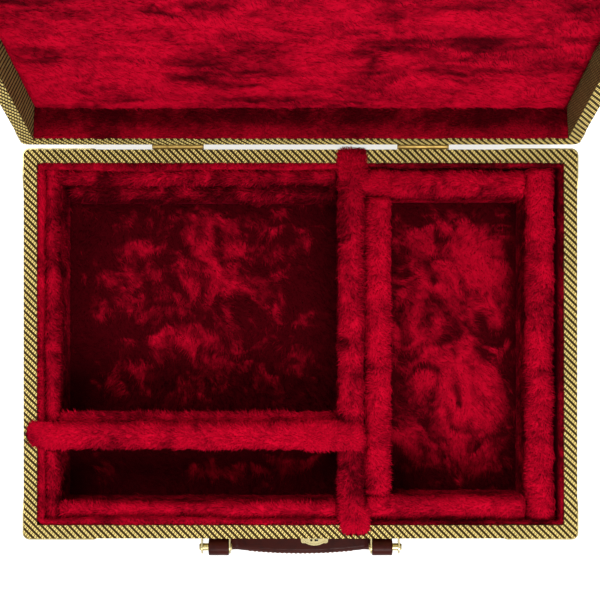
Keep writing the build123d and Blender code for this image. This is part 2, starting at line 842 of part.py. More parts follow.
# Strike on the lid's front, with a stepped plate and two prongs that enter the lock
strike_side = along_x(lid_rim, lock_offset - strike_width / 2)
outer = -back_face
closed_drop = lock_drop + rim_gap
prong_tip = -closed_drop - prong_length
strike_rivets = [
    Plane(
        origin=lid_rim.from_local_coords((x, outer - prong, strike_height - nail_inset)),
        z_dir=-lid_rim.y_dir,
    )
    for x in (lock_offset - lock_rivet_spacing / 2, lock_offset + lock_rivet_spacing / 2)
]
with BuildPart() as lock_strike:
    with BuildSketch(strike_side):
        with BuildLine():
            Polyline(
                (outer, strike_height),
                (outer - prong, strike_height),
                (outer - prong, strike_step),
                (outer - prong - prong_stand, strike_step - prong_stand),
                (outer - prong - prong_stand, -strike_lip),
                (outer - prong_stand, -strike_lip),
                (outer - prong_stand, strike_step - 2 * prong_stand),
                (outer, strike_step - prong_stand),
                close=True,
            )
        make_face()
    extrude(amount=strike_width)
    for x, width in slots:
        with BuildSketch(along_x(lid_rim, x - width / 2)):
            with Locations((outer - prong_stand - prong / 2, (prong_tip - strike_lip) / 2)):
                Rectangle(prong, -strike_lip - prong_tip)
        extrude(amount=width)
    catch_place = (
        prong_outer_edge - catch_depth / 2,
        outer - prong_stand - prong / 2,
        -closed_drop - catch_drop - catch_height / 2,
    )
    with BuildSketch(Plane(origin=lid_rim.from_local_coords(catch_place), z_dir=lid_rim.z_dir)):
        Rectangle(catch_depth, 2 * prong)
    extrude(amount=catch_height / 2, both=True, mode=Mode.SUBTRACT)
    for place in strike_rivets:
        with BuildSketch(place):
            RegularPolygon(rivet_radius + nail_play, fastener_sides)
        extrude(amount=-prong, mode=Mode.SUBTRACT)
save(lock_strike, "lock_strike")

save(rivets(lid_leaf_planes + strike_rivets), "lid_rivets")
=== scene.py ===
"""Looks for a small instrument case: woven tweed outside, crimson plush inside, brass and leather trim."""

import itertools
import json
import math

import bmesh
import bpy
import numpy as np
from bpy.props import FloatProperty, FloatVectorProperty, IntProperty, PointerProperty
from mathutils import Matrix, Vector
from mathutils.bvhtree import BVHTree


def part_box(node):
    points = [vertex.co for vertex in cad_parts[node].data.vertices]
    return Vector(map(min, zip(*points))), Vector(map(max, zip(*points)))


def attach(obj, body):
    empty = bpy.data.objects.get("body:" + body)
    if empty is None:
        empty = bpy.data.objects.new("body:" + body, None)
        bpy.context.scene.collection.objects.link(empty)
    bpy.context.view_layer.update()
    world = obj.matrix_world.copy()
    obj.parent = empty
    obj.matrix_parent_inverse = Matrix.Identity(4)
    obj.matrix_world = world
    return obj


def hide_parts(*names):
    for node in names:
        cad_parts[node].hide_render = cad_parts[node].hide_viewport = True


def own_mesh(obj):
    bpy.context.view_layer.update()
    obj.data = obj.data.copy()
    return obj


bl_info = {
    "name": "Harmonica Case Looks",
    "version": (1, 0, 0),
    "blender": (4, 5, 0),
    "location": "View3D > Sidebar > Case",
    "description": "Dresses a hinged case in tweed, plush, brass and leather",
    "category": "Object",
}

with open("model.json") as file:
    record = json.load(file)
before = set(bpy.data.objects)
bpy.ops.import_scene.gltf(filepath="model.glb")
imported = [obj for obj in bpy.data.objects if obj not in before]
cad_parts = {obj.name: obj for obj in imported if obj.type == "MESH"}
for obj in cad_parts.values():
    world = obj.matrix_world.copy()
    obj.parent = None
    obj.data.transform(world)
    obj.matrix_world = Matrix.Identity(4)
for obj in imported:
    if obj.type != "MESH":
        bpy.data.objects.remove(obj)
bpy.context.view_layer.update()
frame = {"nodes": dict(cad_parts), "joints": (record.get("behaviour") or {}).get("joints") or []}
NODES = frame["nodes"]

MM = 0.001
WHITE = (1, 1, 1, 1)

# The base's rim and the inside of its walls, as the frame has them
RIM_LOW, RIM_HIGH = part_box("base_tweed_wrap")
INSIDE_LOW, INSIDE_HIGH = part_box("base_wall_lining")
RIM_Z = RIM_HIGH.z

# The lid is built lying open flat behind the base, and is then turned up on its hinge to where it rests
LID_JOINT = next(joint for joint in frame["joints"] if joint["name"] == "lid_hinge")
LID_TILT = math.pi - math.radians(LID_JOINT["range_deg"][1])
LID_PIN = Vector(LID_JOINT["pos_m"])
LID_TURN = (
    Matrix.Translation(LID_PIN)
    @ Matrix.Rotation(LID_TILT, 4, "X")
    @ Matrix.Translation(-LID_PIN)
)

# The padded strips of the base: the way that each one runs, and the painted light and shade that brightens
# or darkens its pile
STRIPS = {
    "left_wall_pad": ("y", -0.25),
    "front_bay_left_pad": ("y", -0.2),
    "back_wall_pad": ("x", -0.29),
    "front_wall_pad": ("x", -0.05),
    "long_divider": ("y", -0.22),
    "cross_divider": ("x", 0.02),
    "right_bay_left_pad": ("y", 0.0),
    "right_bay_right_pad": ("y", -0.1),
    "right_bay_back_pad": ("x", -0.05),
    "right_bay_front_pad": ("x", 0.0),
}

BRASS_NODES = (
    [f"{tray}_guard_{end}_{side}" for tray in ("base", "lid") for end in ("front", "back")
     for side in ("left", "right")]
    + [f"{piece}_{side}" for piece in ("handle_bracket", "handle_pin") for side in ("left", "right")]
    + ["lock_case", "lock_button", "lock_strike"]
    + ["base_guard_nails", "lid_guard_nails", "base_hinge_rivets", "lid_rivets", "front_rivets"]
)
HINGE_NODES = [
    f"hinge_{piece}_{side}" for piece in ("base_leaf", "lid_leaf", "pin") for side in ("left", "right")
]
STEEL_NODES = ["lock_bolt", "lock_spring"]
BOARD_NODES = [name for name in NODES if name.endswith("_board")]


def paint(red, green, blue):
    """A colour as seen on a screen, from 0 to 255, turned into the linear values that shaders take."""
    def channel(value):
        value /= 255
        return value / 12.92 if value <= 0.04045 else ((value + 0.055) / 1.055) ** 2.4

    return (channel(red), channel(green), channel(blue), 1.0)


def lid_box(node):
    """The lowest and highest corners of one of the lid's nodes, with the lid lying open flat."""
    points = np.array([LID_TURN.inverted() @ v.co for v in NODES[node].data.vertices])
    return Vector(points.min(0)), Vector(points.max(0))


# Sizes and colours that a user can change


class CaseHandle(bpy.types.PropertyGroup):
    """The stitched leather handle."""

    stitch: FloatProperty(
        name="Stitch", description="Length of one stitch", unit="LENGTH", default=2.2 * MM
    )
    stitch_gap: FloatProperty(
        name="Stitch gap", description="Distance between two stitches", unit="LENGTH", default=1.1 * MM
    )
    stitch_inset: FloatProperty(
        name="Stitch inset", description="Distance from the edge to the row of stitches",
        unit="LENGTH", default=2.3 * MM,
    )
    thread: FloatProperty(
        name="Thread", description="Thickness of the thread", unit="LENGTH", default=0.7 * MM
    )
    leather: FloatVectorProperty(
        name="Leather", description="Colour of the leather",
        subtype="COLOR", size=4, min=0, max=1, default=paint(55, 16, 11),
    )
    thread_colour: FloatVectorProperty(
        name="Thread colour", description="Colour of the thread",
        subtype="COLOR", size=4, min=0, max=1, default=paint(120, 66, 48),
    )


class CaseMetal(bpy.types.PropertyGroup):
    """The guards, hinges, brackets and lock."""

    brass: FloatVectorProperty(
        name="Brass", description="Colour of the guards, brackets and lock",
        subtype="COLOR", size=4, min=0, max=1, default=paint(180, 167, 122),
    )
    hinges: FloatVectorProperty(
        name="Hinges", description="Colour of the darker brass of the hinges",
        subtype="COLOR", size=4, min=0, max=1, default=paint(132, 108, 58),
    )
    steel: FloatVectorProperty(
        name="Steel", description="Colour of the lock's slide and spring",
        subtype="COLOR", size=4, min=0, max=1, default=paint(190, 192, 196),
    )


class CasePlush(bpy.types.PropertyGroup):
    """The crimson pile inside the case."""

    bright: FloatVectorProperty(
        name="Bright", description="Colour of pile that lies towards the light",
        subtype="COLOR", size=4, min=0, max=1, default=paint(212, 6, 44),
    )
    dark: FloatVectorProperty(
        name="Dark", description="Colour of pile that is brushed away from the light",
        subtype="COLOR", size=4, min=0, max=1, default=paint(70, 0, 8),
    )
    pile_length: FloatProperty(
        name="Pile length", description="Length of the tufts on the padded strips",
        unit="LENGTH", default=4.9 * MM,
    )
    tuft_width: FloatProperty(
        name="Tuft width", description="Width of one tuft at its root",
        unit="LENGTH", default=0.62 * MM,
    )
    seed: IntProperty(name="Seed", description="Start of the random draws", default=11)


class CaseTweed(bpy.types.PropertyGroup):
    """The woven covering."""

    light: FloatVectorProperty(
        name="Light yarn", description="Colour of the pale yarn",
        subtype="COLOR", size=4, min=0, max=1, default=paint(255, 229, 140),
    )
    dark: FloatVectorProperty(
        name="Dark yarn", description="Colour of the dark yarn",
        subtype="COLOR", size=4, min=0, max=1, default=paint(34, 16, 5),
    )
    stripe: FloatProperty(
        name="Stripe", description="Distance from one dark stripe to the next, square to them",
        unit="LENGTH", default=3.3 * MM,
    )
    bead: FloatProperty(
        name="Bead", description="Distance from one stitch of a yarn to the next",
        unit="LENGTH", default=1.9 * MM,
    )


class CaseStage(bpy.types.PropertyGroup):
    """Light and camera."""

    lamp_power: FloatProperty(
        name="Lamp", description="Power of the large lamp in front", unit="POWER", default=36.0
    )
    side_share: FloatProperty(
        name="Side lamp", description="Power of the lamp at the side, as a share of the first",
        subtype="FACTOR", default=0.4,
    )
    sky: FloatProperty(name="Sky", description="Strength of the even light", default=0.6)
    lens: FloatProperty(name="Lens", description="Focal length in millimetres", default=78.0)
    height: FloatProperty(
        name="Height", description="Height of the camera above the rim", unit="LENGTH", default=0.892
    )


# Repeatable noise and mesh building


def eased(share):
    """A share from 0 to 1 that starts and stops gently."""
    return share * share * (3 - 2 * share)


def lattice(whole, seed):
    """A repeatable value from 0 to 1 at each whole-numbered point. The large numbers scatter its bits."""
    mask = np.int64(0xFFFFFFFF)
    mixed = (
        whole[:, 0] * 374761393 + whole[:, 1] * 668265263 + whole[:, 2] * 1440662683 + seed * 982451653
    ) & mask
    mixed = ((mixed ^ (mixed >> 13)) * 1274126177) & mask
    mixed = ((mixed ^ (mixed >> 15)) * 1103515245) & mask
    return ((mixed ^ (mixed >> 16)) & 0xFFFF) / 65535.0


def noise(points, size, seed):
    """Smooth noise from -1 to 1, with lumps about as wide as size."""
    scaled = points / size
    whole = np.floor(scaled).astype(np.int64)
    part = eased(scaled - whole)
    total = np.zeros(len(points))
    for corner in np.ndindex(2, 2, 2):
        near = np.where(np.array(corner) == 1, part, 1 - part).prod(1)
        total += near * lattice(whole + np.array(corner), seed)
    return total * 2 - 1


def layered(points, layers, seed):
    """Noise of several sizes laid one over another. Layers holds each one's size and weight."""
    return sum(weight * noise(points, size, seed + i) for i, (size, weight) in enumerate(layers))


def drift(points, size, seed):
    """Noise that moves each point its own way."""
    return np.stack([noise(points, size, seed + axis) for axis in range(3)], 1)


def painted_light_and_shade(points, seed, patch, contrast, folds=0.0):
    """Painted sheen of crushed velvet: how bright the pile shows as it lies, from 0, brushed away, to 1,
    brushed up, in patches.

    Folds adds creases, with painted light on one side and painted shade on the other.
    """
    bent = points + drift(points, patch, seed + 40) * patch * 0.45
    mixed = layered(bent, ((patch, 0.52), (patch * 0.42, 0.34), (patch * 0.17, 0.22)), seed)
    if folds:
        bent += drift(points, patch * 0.4, seed + 50) * patch * 0.2

        def crease(p):
            coarse, fine = noise(p, patch * 0.7, seed + 3), noise(p, patch * 0.3, seed + 4)
            return -np.abs(coarse) - 0.4 * np.abs(fine)

        across = np.array((0.5, 0.85, 0.0)) * patch * 0.1
        mixed += folds * (crease(bent + across) - crease(bent - across))
    return 0.5 + mixed * contrast


def face_facts(points, quads):
    """The centre, normal and area of each four-sided face."""
    corners = points[quads]
    across = np.cross(corners[:, 2] - corners[:, 0], corners[:, 3] - corners[:, 1])
    length = np.linalg.norm(across, axis=1)
    return corners.mean(1), across / np.maximum(length, 1e-12)[:, None], length / 2


def point_normals(points, quads):
    """A smooth normal at each point."""
    _, normals, areas = face_facts(points, quads)
    total = np.zeros_like(points)
    for corner in range(4):
        np.add.at(total, quads[:, corner], normals * areas[:, None])
    return total / np.maximum(np.linalg.norm(total, axis=1), 1e-12)[:, None]


def fill_mesh(name, points, quads, triangles, values=None):
    """A smooth-shaded mesh from arrays, with any values kept on its points."""
    mesh = bpy.data.meshes.new(name)
    mesh.vertices.add(len(points))
    mesh.vertices.foreach_set("co", np.ascontiguousarray(points, np.float32).ravel())
    loops = np.concatenate((quads.ravel(), triangles.ravel())).astype(np.int32)
    mesh.loops.add(len(loops))
    mesh.loops.foreach_set("vertex_index", loops)
    starts = np.concatenate(
        (np.arange(len(quads)) * 4, len(quads) * 4 + np.arange(len(triangles)) * 3)
    ).astype(np.int32)
    mesh.polygons.add(len(starts))
    mesh.polygons.foreach_set("loop_start", starts)
    mesh.update(calc_edges=True)
    for key, value in (values or {}).items():
        mesh.attributes.new(key, "FLOAT", "POINT").data.foreach_set("value", value.astype(np.float32))
    mesh.polygons.foreach_set("use_smooth", np.ones(len(starts), bool))
    return mesh


def softened(name, nodes, grain, rounds):
    """One mesh over several parts, with its edges rounded off as leather's are."""
    joined = bmesh.new()
    for node in nodes:
        joined.from_mesh(NODES[node].data)
    mesh = bpy.data.meshes.new(name + "_rough")
    joined.to_mesh(mesh)
    joined.free()
    rough = bpy.data.objects.new(name + "_rough", mesh)
    bpy.context.scene.collection.objects.link(rough)
    remesh = rough.modifiers.new("remesh", "REMESH")
    remesh.mode = "VOXEL"
    remesh.voxel_size = grain
    rough.modifiers.new("smooth", "SMOOTH").iterations = rounds
    evaluated = rough.evaluated_get(bpy.context.evaluated_depsgraph_get())
    smooth = bpy.data.meshes.new_from_object(evaluated)
    bpy.data.objects.remove(rough)
    smooth.name = name
    smooth.polygons.foreach_set("use_smooth", np.ones(len(smooth.polygons), bool))
    return smooth


def make_piece(name, mesh, body, material, replaced=(), turn=None):
    """Puts a finished mesh in the scene as one piece that rides on a body."""
    if turn is not None:
        mesh.transform(turn)
    piece = bpy.data.objects.new(name, mesh)
    bpy.context.scene.collection.objects.link(piece)
    mesh.materials.append(material)
    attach(piece, body)
    if replaced:
        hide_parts(*replaced)
    return piece


# Skins: the closed forms that the pile grows on


def faced_out(points, quads, triangles):
    """The same closed skin with every face turned outwards."""
    corners = points[quads]
    halves = np.concatenate((corners[:, (0, 1, 2)], corners[:, (0, 2, 3)], points[triangles]))
    volume = (halves[:, 0] * np.cross(halves[:, 1], halves[:, 2])).sum()
    if volume > 0:
        return points, quads, triangles
    return points, quads[:, ::-1], triangles[:, ::-1]


def ring_quads(rings, around, closed):
    """Quads between rings of points, each with around points. Closed joins the last ring to the first."""
    ring = np.arange(rings if closed else rings - 1)[:, None]
    here, beyond = ring * around, (ring + 1) % rings * around
    point = np.arange(around)[None, :]
    after = (point + 1) % around
    corners = (here + point, beyond + point, beyond + after, here + after)
    return np.stack(np.broadcast_arrays(*corners), -1).reshape(-1, 4)


def strip_skin(low, high, along, crown, end_round, step, pull=0.6 * MM):
    """A padded strip between two corners, crowned on top, with rounded ends and drawn-in sides."""
    run, across = (0, 1) if along == "x" else (1, 0)
    length = high[run] - low[run]
    half = (high[across] - low[across]) / 2
    middle = (high[across] + low[across]) / 2
    end_steps = 7
    near = end_round * (1 - np.cos(np.linspace(0, math.pi / 2, end_steps)))
    count = max(3, int((length - 2 * end_round) / step))
    straight = np.linspace(end_round, length - end_round, count)[1:-1]
    places = np.concatenate((near, straight, length - near[::-1]))
    from_end = np.clip(np.minimum(places, length - places) / end_round, 0, 1)
    inset = end_round * (1 - np.sqrt(1 - (1 - from_end) ** 2))

    shoulder = high[2] - crown
    side_count = max(4, int((shoulder - low[2]) / (step * 1.5)))
    crown_count = max(9, int(math.pi * half / step))
    rise = np.linspace(0, 1, side_count)
    turn = np.linspace(math.pi, 0, crown_count)[1:-1]
    side = -1 + (pull / half) * np.sin(math.pi * rise)
    fullness = 0.7
    bow = np.sign(np.cos(turn)) * np.abs(np.cos(turn)) ** fullness
    sideways = np.concatenate((side, bow, -side[::-1]))
    level = np.concatenate((rise * 0, np.sin(turn) ** fullness, rise * 0))
    climb = np.concatenate((rise, turn * 0 + 1, rise[::-1]))

    width = half - inset[:, None]
    sink = inset[:, None] * 0.5
    height = low[2] + (shoulder - sink - low[2]) * climb + (crown - sink) * level
    points = np.zeros((len(places), len(sideways), 3))
    points[..., run] = low[run] + places[:, None]
    points[..., across] = middle + width * sideways * (1 if along == "x" else -1)
    points[..., 2] = height
    rings, around = points.shape[:2]
    points = points.reshape(-1, 3)
    quads = ring_quads(rings, around, False)
    ends = [points[:around].mean(0), points[-around:].mean(0)]
    first = np.arange(around)
    after = (first + 1) % around
    last = (rings - 1) * around
    caps = np.concatenate((
        np.stack((first * 0 + len(points), first, after), 1),
        np.stack((first * 0 + len(points) + 1, last + after, last + first), 1),
    ))
    return faced_out(np.concatenate((points, ends)), quads, caps)


def frame_loop(half_x, half_y, radius, step):
    """Round a rectangle with rounded corners: a function that gives its points at any inset."""
    corner_steps = 7
    least_bend = 0.3 * MM
    corners = ((1, 1), (-1, 1), (-1, -1), (1, -1))
    counts = int(2 * half_x / step), int(2 * half_y / step)
    turn = np.linspace(0, math.pi / 2, corner_steps)

    def at(inset):
        bend = max(radius - inset, least_bend)
        span = np.array((half_x - inset - bend, half_y - inset - bend))
        loop = []
        for quarter, corner in enumerate(corners):
            centre, follow = span * corner, span * corners[(quarter + 1) % 4]
            angle = turn + quarter * math.pi / 2
            loop.append(centre + bend * np.stack((np.cos(angle), np.sin(angle)), 1))
            last = (quarter + 1) * math.pi / 2
            reach = bend * np.array((math.cos(last), math.sin(last)))
            share = np.linspace(0, 1, counts[quarter % 2] + 2)[1:-1, None]
            loop.append((centre + reach) * (1 - share) + (follow + reach) * share)
        return np.concatenate(loop)

    return at


def roll_skin(centre, half_x, half_y, low_z, high_z, thickness, roll, step):
    """A wall lining that swells into a roll along its top. Roll gives the roll's width at each x."""
    corner_radius = 4 * MM
    crest = 2.5 * MM
    swell_start, swell_reach = high_z - 10 * MM, 7 * MM
    neck = high_z - 9 * MM
    at = frame_loop(half_x, half_y, corner_radius, step)
    base = at(0)
    widths = roll(base + np.array(centre))

    # How far in and how high each point of the outline lies: up the wall, over the roll and down inside
    levels = np.concatenate((np.linspace(low_z, neck, 9)[:-1], np.linspace(neck, high_z - crest, 7)))
    swell = eased(np.clip((levels - swell_start) / swell_reach, 0, 1))
    depth = [np.zeros(len(base)) for _ in levels]
    height = list(levels)
    for angle in np.linspace(0, math.pi, 13)[1:-1]:
        depth.append(widths * (1 - math.cos(angle)) / 2)
        height.append(high_z - crest + crest * math.sin(angle) ** 0.8)
    for level, share in zip(levels[::-1], swell[::-1]):
        depth.append(thickness + (widths - thickness) * share)
        height.append(level)

    # The loop at each depth is found between the loops at a few set depths
    columns = []
    insets = np.linspace(0, widths.max() + 0.1 * MM, 12)
    tracks = np.stack([at(inset) for inset in insets])
    index = np.arange(len(base))
    for inward, level in zip(depth, height):
        place = np.interp(inward, insets, np.arange(len(insets)))
        lower = np.clip(place.astype(int), 0, len(insets) - 2)
        part = (place - lower)[:, None]
        flat = tracks[lower, index] * (1 - part) + tracks[lower + 1, index] * part
        columns.append(np.column_stack((flat + np.array(centre[:2]), np.full(len(base), level))))
    points = np.stack(columns, 1)
    rings, around = points.shape[:2]
    return faced_out(points.reshape(-1, 3), ring_quads(rings, around, True), np.zeros((0, 3), int))


def sheet_skin(low, high, step, swell=None):
    """A flat padded panel, with its upper side as a fine grid. Swell adds height at each point."""
    count_x = int((high[0] - low[0]) / step)
    count_y = int((high[1] - low[1]) / step)
    x, y = np.meshgrid(
        np.linspace(low[0], high[0], count_x), np.linspace(low[1], high[1], count_y), indexing="ij"
    )
    z = np.full_like(x, high[2])
    if swell is not None:
        z = z + swell(x, y)
    points = np.stack((x, y, z), -1).reshape(-1, 3)
    i, j = np.meshgrid(np.arange(count_x - 1), np.arange(count_y - 1), indexing="ij")
    start = (i * count_y + j).ravel()
    quads = np.stack((start, start + count_y, start + count_y + 1, start + 1), 1)
    edge = np.concatenate((
        np.arange(count_x) * count_y,
        (count_x - 1) * count_y + np.arange(1, count_y),
        np.arange(count_x - 2, -1, -1) * count_y + count_y - 1,
        np.arange(count_y - 2, 0, -1),
    ))
    under = points[edge].copy()
    under[:, 2] = low[2]
    first = np.arange(len(edge))
    after = (first + 1) % len(edge)
    below = len(points) + first
    below_after = len(points) + after
    skirt = np.stack((edge[first], below, below_after, edge[after]), 1)
    middle = np.array([[(low[0] + high[0]) / 2, (low[1] + high[1]) / 2, low[2]]])
    fan = np.stack((np.full(len(edge), len(points) + len(edge)), below_after, below), 1)
    return faced_out(np.concatenate((points, under, middle)), np.concatenate((quads, skirt)), fan)


def ruffle(points, quads, keep_above, height, seed):
    """Pushes a skin in and out, so that the pile on it lies in lumps and tufts."""
    normals = point_normals(points, quads)
    lumps = layered(points, ((17 * MM, 0.9), (6.5 * MM, 0.7), (2.6 * MM, 0.55)), seed)
    free = np.clip((points[:, 2] - keep_above) / (3 * MM), 0, 1)
    return points + normals * (lumps * height * free)[:, None]


def tufts(points, quads, count, length, width, lift, comb, where, seed, bent=True):
    """Closed, pointed tufts of pile that grow from a skin. Comb is the way that they lean."""
    draw = np.random.default_rng(seed)
    centres, normals, areas = face_facts(points, quads)
    chance = areas * where(centres, normals)
    picked = draw.choice(len(quads), count, p=chance / chance.sum())
    corners = points[quads[picked]]
    u, v = draw.random((2, count, 1))
    roots = (corners[:, 0] * (1 - u) + corners[:, 1] * u) * (1 - v)
    roots += (corners[:, 3] * (1 - u) + corners[:, 2] * u) * v
    normal = normals[picked]

    lean = comb(roots)
    lean = lean - normal * (lean * normal).sum(1, keepdims=True)
    lean /= np.maximum(np.linalg.norm(lean, axis=1), 1e-9)[:, None]
    side = np.cross(normal, lean)
    swirl = 1.1 * noise(roots, 26 * MM, seed + 5) + 0.55 * noise(roots, 8 * MM, seed + 6)
    swirl = (swirl + 0.28 * draw.standard_normal(count))[:, None]
    lean = lean * np.cos(swirl) + side * np.sin(swirl)
    raised = lift * (0.7 + 0.6 * draw.random((count, 1)))
    reach = length * (0.65 + 0.7 * draw.random((count, 1)))
    grow = normal * np.sin(raised) + lean * np.cos(raised)
    droop = grow + lean * 0.35 - normal * np.sin(raised) * 0.8
    droop /= np.linalg.norm(droop, axis=1)[:, None]
    side = np.cross(normal, lean)
    back = np.cross(side, grow)

    root = roots - normal * width * 0.7
    around = [math.pi / 2 + i * 2 * math.pi / 3 for i in range(3)]
    wide = width * (0.7 + 0.6 * draw.random((count, 1)))
    ring = [root + side * wide * math.cos(a) * 0.5 + back * wide * math.sin(a) * 0.32 for a in around]
    start = np.arange(count)[:, None]
    if not bent:
        tip = root + grow * reach
        made = np.stack([*ring, tip], 1).reshape(-1, 3)
        start = start * 4
        faces = np.concatenate([start + np.array(f) for f in ((0, 1, 3), (1, 2, 3), (2, 0, 3), (2, 1, 0))])
        tips = np.tile((0.0, 0.0, 0.0, 1.0), count)
        return made, np.zeros((0, 4), int), faces, tips
    elbow = root + grow * reach * 0.5
    upper = [elbow + side * wide * math.cos(a) * 0.4 + back * wide * math.sin(a) * 0.24 for a in around]
    tip = elbow + droop * reach * 0.5
    made = np.stack([*ring, *upper, tip], 1).reshape(-1, 3)
    start = start * 7
    sides = np.concatenate([start + np.array(f) for f in ((0, 1, 4, 3), (1, 2, 5, 4), (2, 0, 3, 5))])
    faces = np.concatenate([start + np.array(f) for f in ((3, 4, 6), (4, 5, 6), (5, 3, 6), (2, 1, 0))])
    tips = np.tile((0.0, 0.0, 0.0, 0.55, 0.55, 0.55, 1.0), count)
    return made, sides, faces, tips


def plush_mesh(
    name, skin, pile, painted_light_seed, patch=38 * MM, contrast=0.95, shift=None, stretch=(1, 1, 1), folds=0.0
):
    """Joins a skin and its tufts into one mesh that knows how its pile lies, as painted sheen and shade,
    and where its tips are.

    Shift adds painted light and shade from place to place. Stretch below 1 draws the patches out.
    """
    points, quads, triangles = skin
    hair_points, hair_quads, hair_triangles, tips = pile
    everything = np.concatenate((points, hair_points))
    per_tuft = 7 if len(hair_quads) else 4
    firsts = hair_points[::per_tuft]
    grown = np.concatenate((points, firsts))
    # Painted light and shade of the pile: the velvet's sheen patches, the shift, and a random tone for each
    # tuft
    brushed = painted_light_and_shade(grown * np.array(stretch), painted_light_seed, patch, contrast, folds)
    if shift is not None:
        brushed += shift(grown)
    brushed[len(points):] += 0.09 * np.random.default_rng(painted_light_seed).standard_normal(len(firsts))
    brushed = np.concatenate((brushed[:len(points)], np.repeat(brushed[len(points):], per_tuft)))
    return fill_mesh(
        name,
        everything,
        np.concatenate((quads, hair_quads + len(points))),
        np.concatenate((triangles, hair_triangles + len(points))),
        {"painted_light_and_shade": brushed, "tip": np.concatenate((np.full(len(points), 0.3), tips))},
    )


# Shader building


def put(tree, kind, sockets=None, **settings):
    """Adds one node, with its inputs fed by values or by other nodes."""
    node = tree.nodes.new(kind)
    for key, value in settings.items():
        setattr(node, key, value)
    for key, value in (sockets or {}).items():
        if isinstance(value, bpy.types.NodeSocket):
            tree.links.new(value, node.inputs[key])
        else:
            node.inputs[key].default_value = value
    return node


def calc(tree, operation, *values, clamp=False):
    """The result of one sum."""
    sockets = dict(enumerate(values))
    return put(tree, "ShaderNodeMath", sockets, operation=operation, use_clamp=clamp).outputs[0]


def swing(tree, value, size):
    """A value from 0 to 1, turned into one that swings both ways about 0."""
    return calc(tree, "MULTIPLY", calc(tree, "SUBTRACT", value, 0.5), size)


def arch(tree, value):
    """0 at each whole number, and 1 halfway between two."""
    return calc(tree, "SINE", calc(tree, "MULTIPLY", calc(tree, "FRACT", value), math.pi))


def parts(tree, vector):
    """The x, y and z of a vector."""
    return put(tree, "ShaderNodeSeparateXYZ", {0: vector}).outputs


def seen_straight(tree):
    """1 for rays that show a thing to the camera, also by way of metal or glass, and 0 for other rays."""
    rays = put(tree, "ShaderNodeLightPath").outputs
    bent = calc(tree, "ADD", rays["Is Glossy Ray"], rays["Is Transmission Ray"])
    return calc(tree, "ADD", rays["Is Camera Ray"], bent, clamp=True)


def mix(tree, share, first, second):
    """A colour between two."""
    return put(tree, "ShaderNodeMix", {0: share, 6: first, 7: second}, data_type="RGBA").outputs[2]


def steps(tree, value, low, high):
    """0 below low, 1 above high, and smooth between them."""
    sockets = {"Value": value, "From Min": low, "From Max": high}
    return put(tree, "ShaderNodeMapRange", sockets, interpolation_type="SMOOTHSTEP").outputs["Result"]


def fractal(tree, vector, scale, detail=3.0, roughness=0.5, distortion=0.0):
    """Blender's own noise, from about 0.2 to 0.8."""
    sockets = {
        "Vector": vector, "Scale": scale, "Detail": detail, "Roughness": roughness, "Distortion": distortion
    }
    return put(tree, "ShaderNodeTexNoise", sockets).outputs["Fac"]


def new_group(name, inputs, outputs):
    """A shader node group with named sockets."""
    group = bpy.data.node_groups.new(name, "ShaderNodeTree")
    for socket, kind, value in inputs:
        made = group.interface.new_socket(name=socket, in_out="INPUT", socket_type="NodeSocket" + kind)
        if value is not None:
            made.default_value = value
    for socket, kind in outputs:
        group.interface.new_socket(name=socket, in_out="OUTPUT", socket_type="NodeSocket" + kind)
    return group, put(group, "NodeGroupInput").outputs, put(group, "NodeGroupOutput").inputs


def pile_group():
    """Plush colour: painted sheen in patches of brushed pile, painted shade at the roots under paler tips,
    and fine fuzz.
    """
    group, given, result = new_group(
        "plush_pile",
        (
            ("Position", "Vector", None),
            ("Nap", "Float", 0.5),
            ("Tip", "Float", 0.5),
            ("Bright", "Color", (1, 0, 0, 1)),
            ("Dark", "Color", (0.1, 0, 0, 1)),
            ("Patch Low", "Float", 0.2),
            ("Patch High", "Float", 0.8),
        ),
        (("Color", "Color"), ("Height", "Float")),
    )
    position = given["Position"]
    strands = put(group, "ShaderNodeMapping", {"Vector": position, "Scale": (1.0, 1.0, 0.5)}).outputs[0]
    fuzz = fractal(group, strands, 620.0, 2.0, 0.6)
    clumps = fractal(group, position, 170.0, 3.0, 0.6, 0.6)
    # The painted light and shade from the mesh, varied in clumps, sets how much of the pile shows bright
    brushed = calc(group, "ADD", given["Nap"], swing(group, clumps, 0.55))
    patch = steps(group, brushed, given["Patch Low"], given["Patch High"])
    colour = mix(group, patch, given["Dark"], given["Bright"])
    # Painted shade: the pile is darker at its roots, and on the skin under it, than at its tips
    depth = calc(group, "MULTIPLY_ADD", given["Tip"], 0.42, 0.62)
    grain = calc(group, "MULTIPLY_ADD", calc(group, "SUBTRACT", fuzz, 0.5), 0.7, 1.0)
    level = calc(group, "MULTIPLY", depth, grain)
    scaled = put(group, "ShaderNodeVectorMath", {0: colour}, operation="SCALE")
    group.links.new(level, scaled.inputs["Scale"])
    group.links.new(scaled.outputs[0], result["Color"])
    group.links.new(calc(group, "ADD", fuzz, calc(group, "MULTIPLY", clumps, 1.5)), result["Height"])
    return group


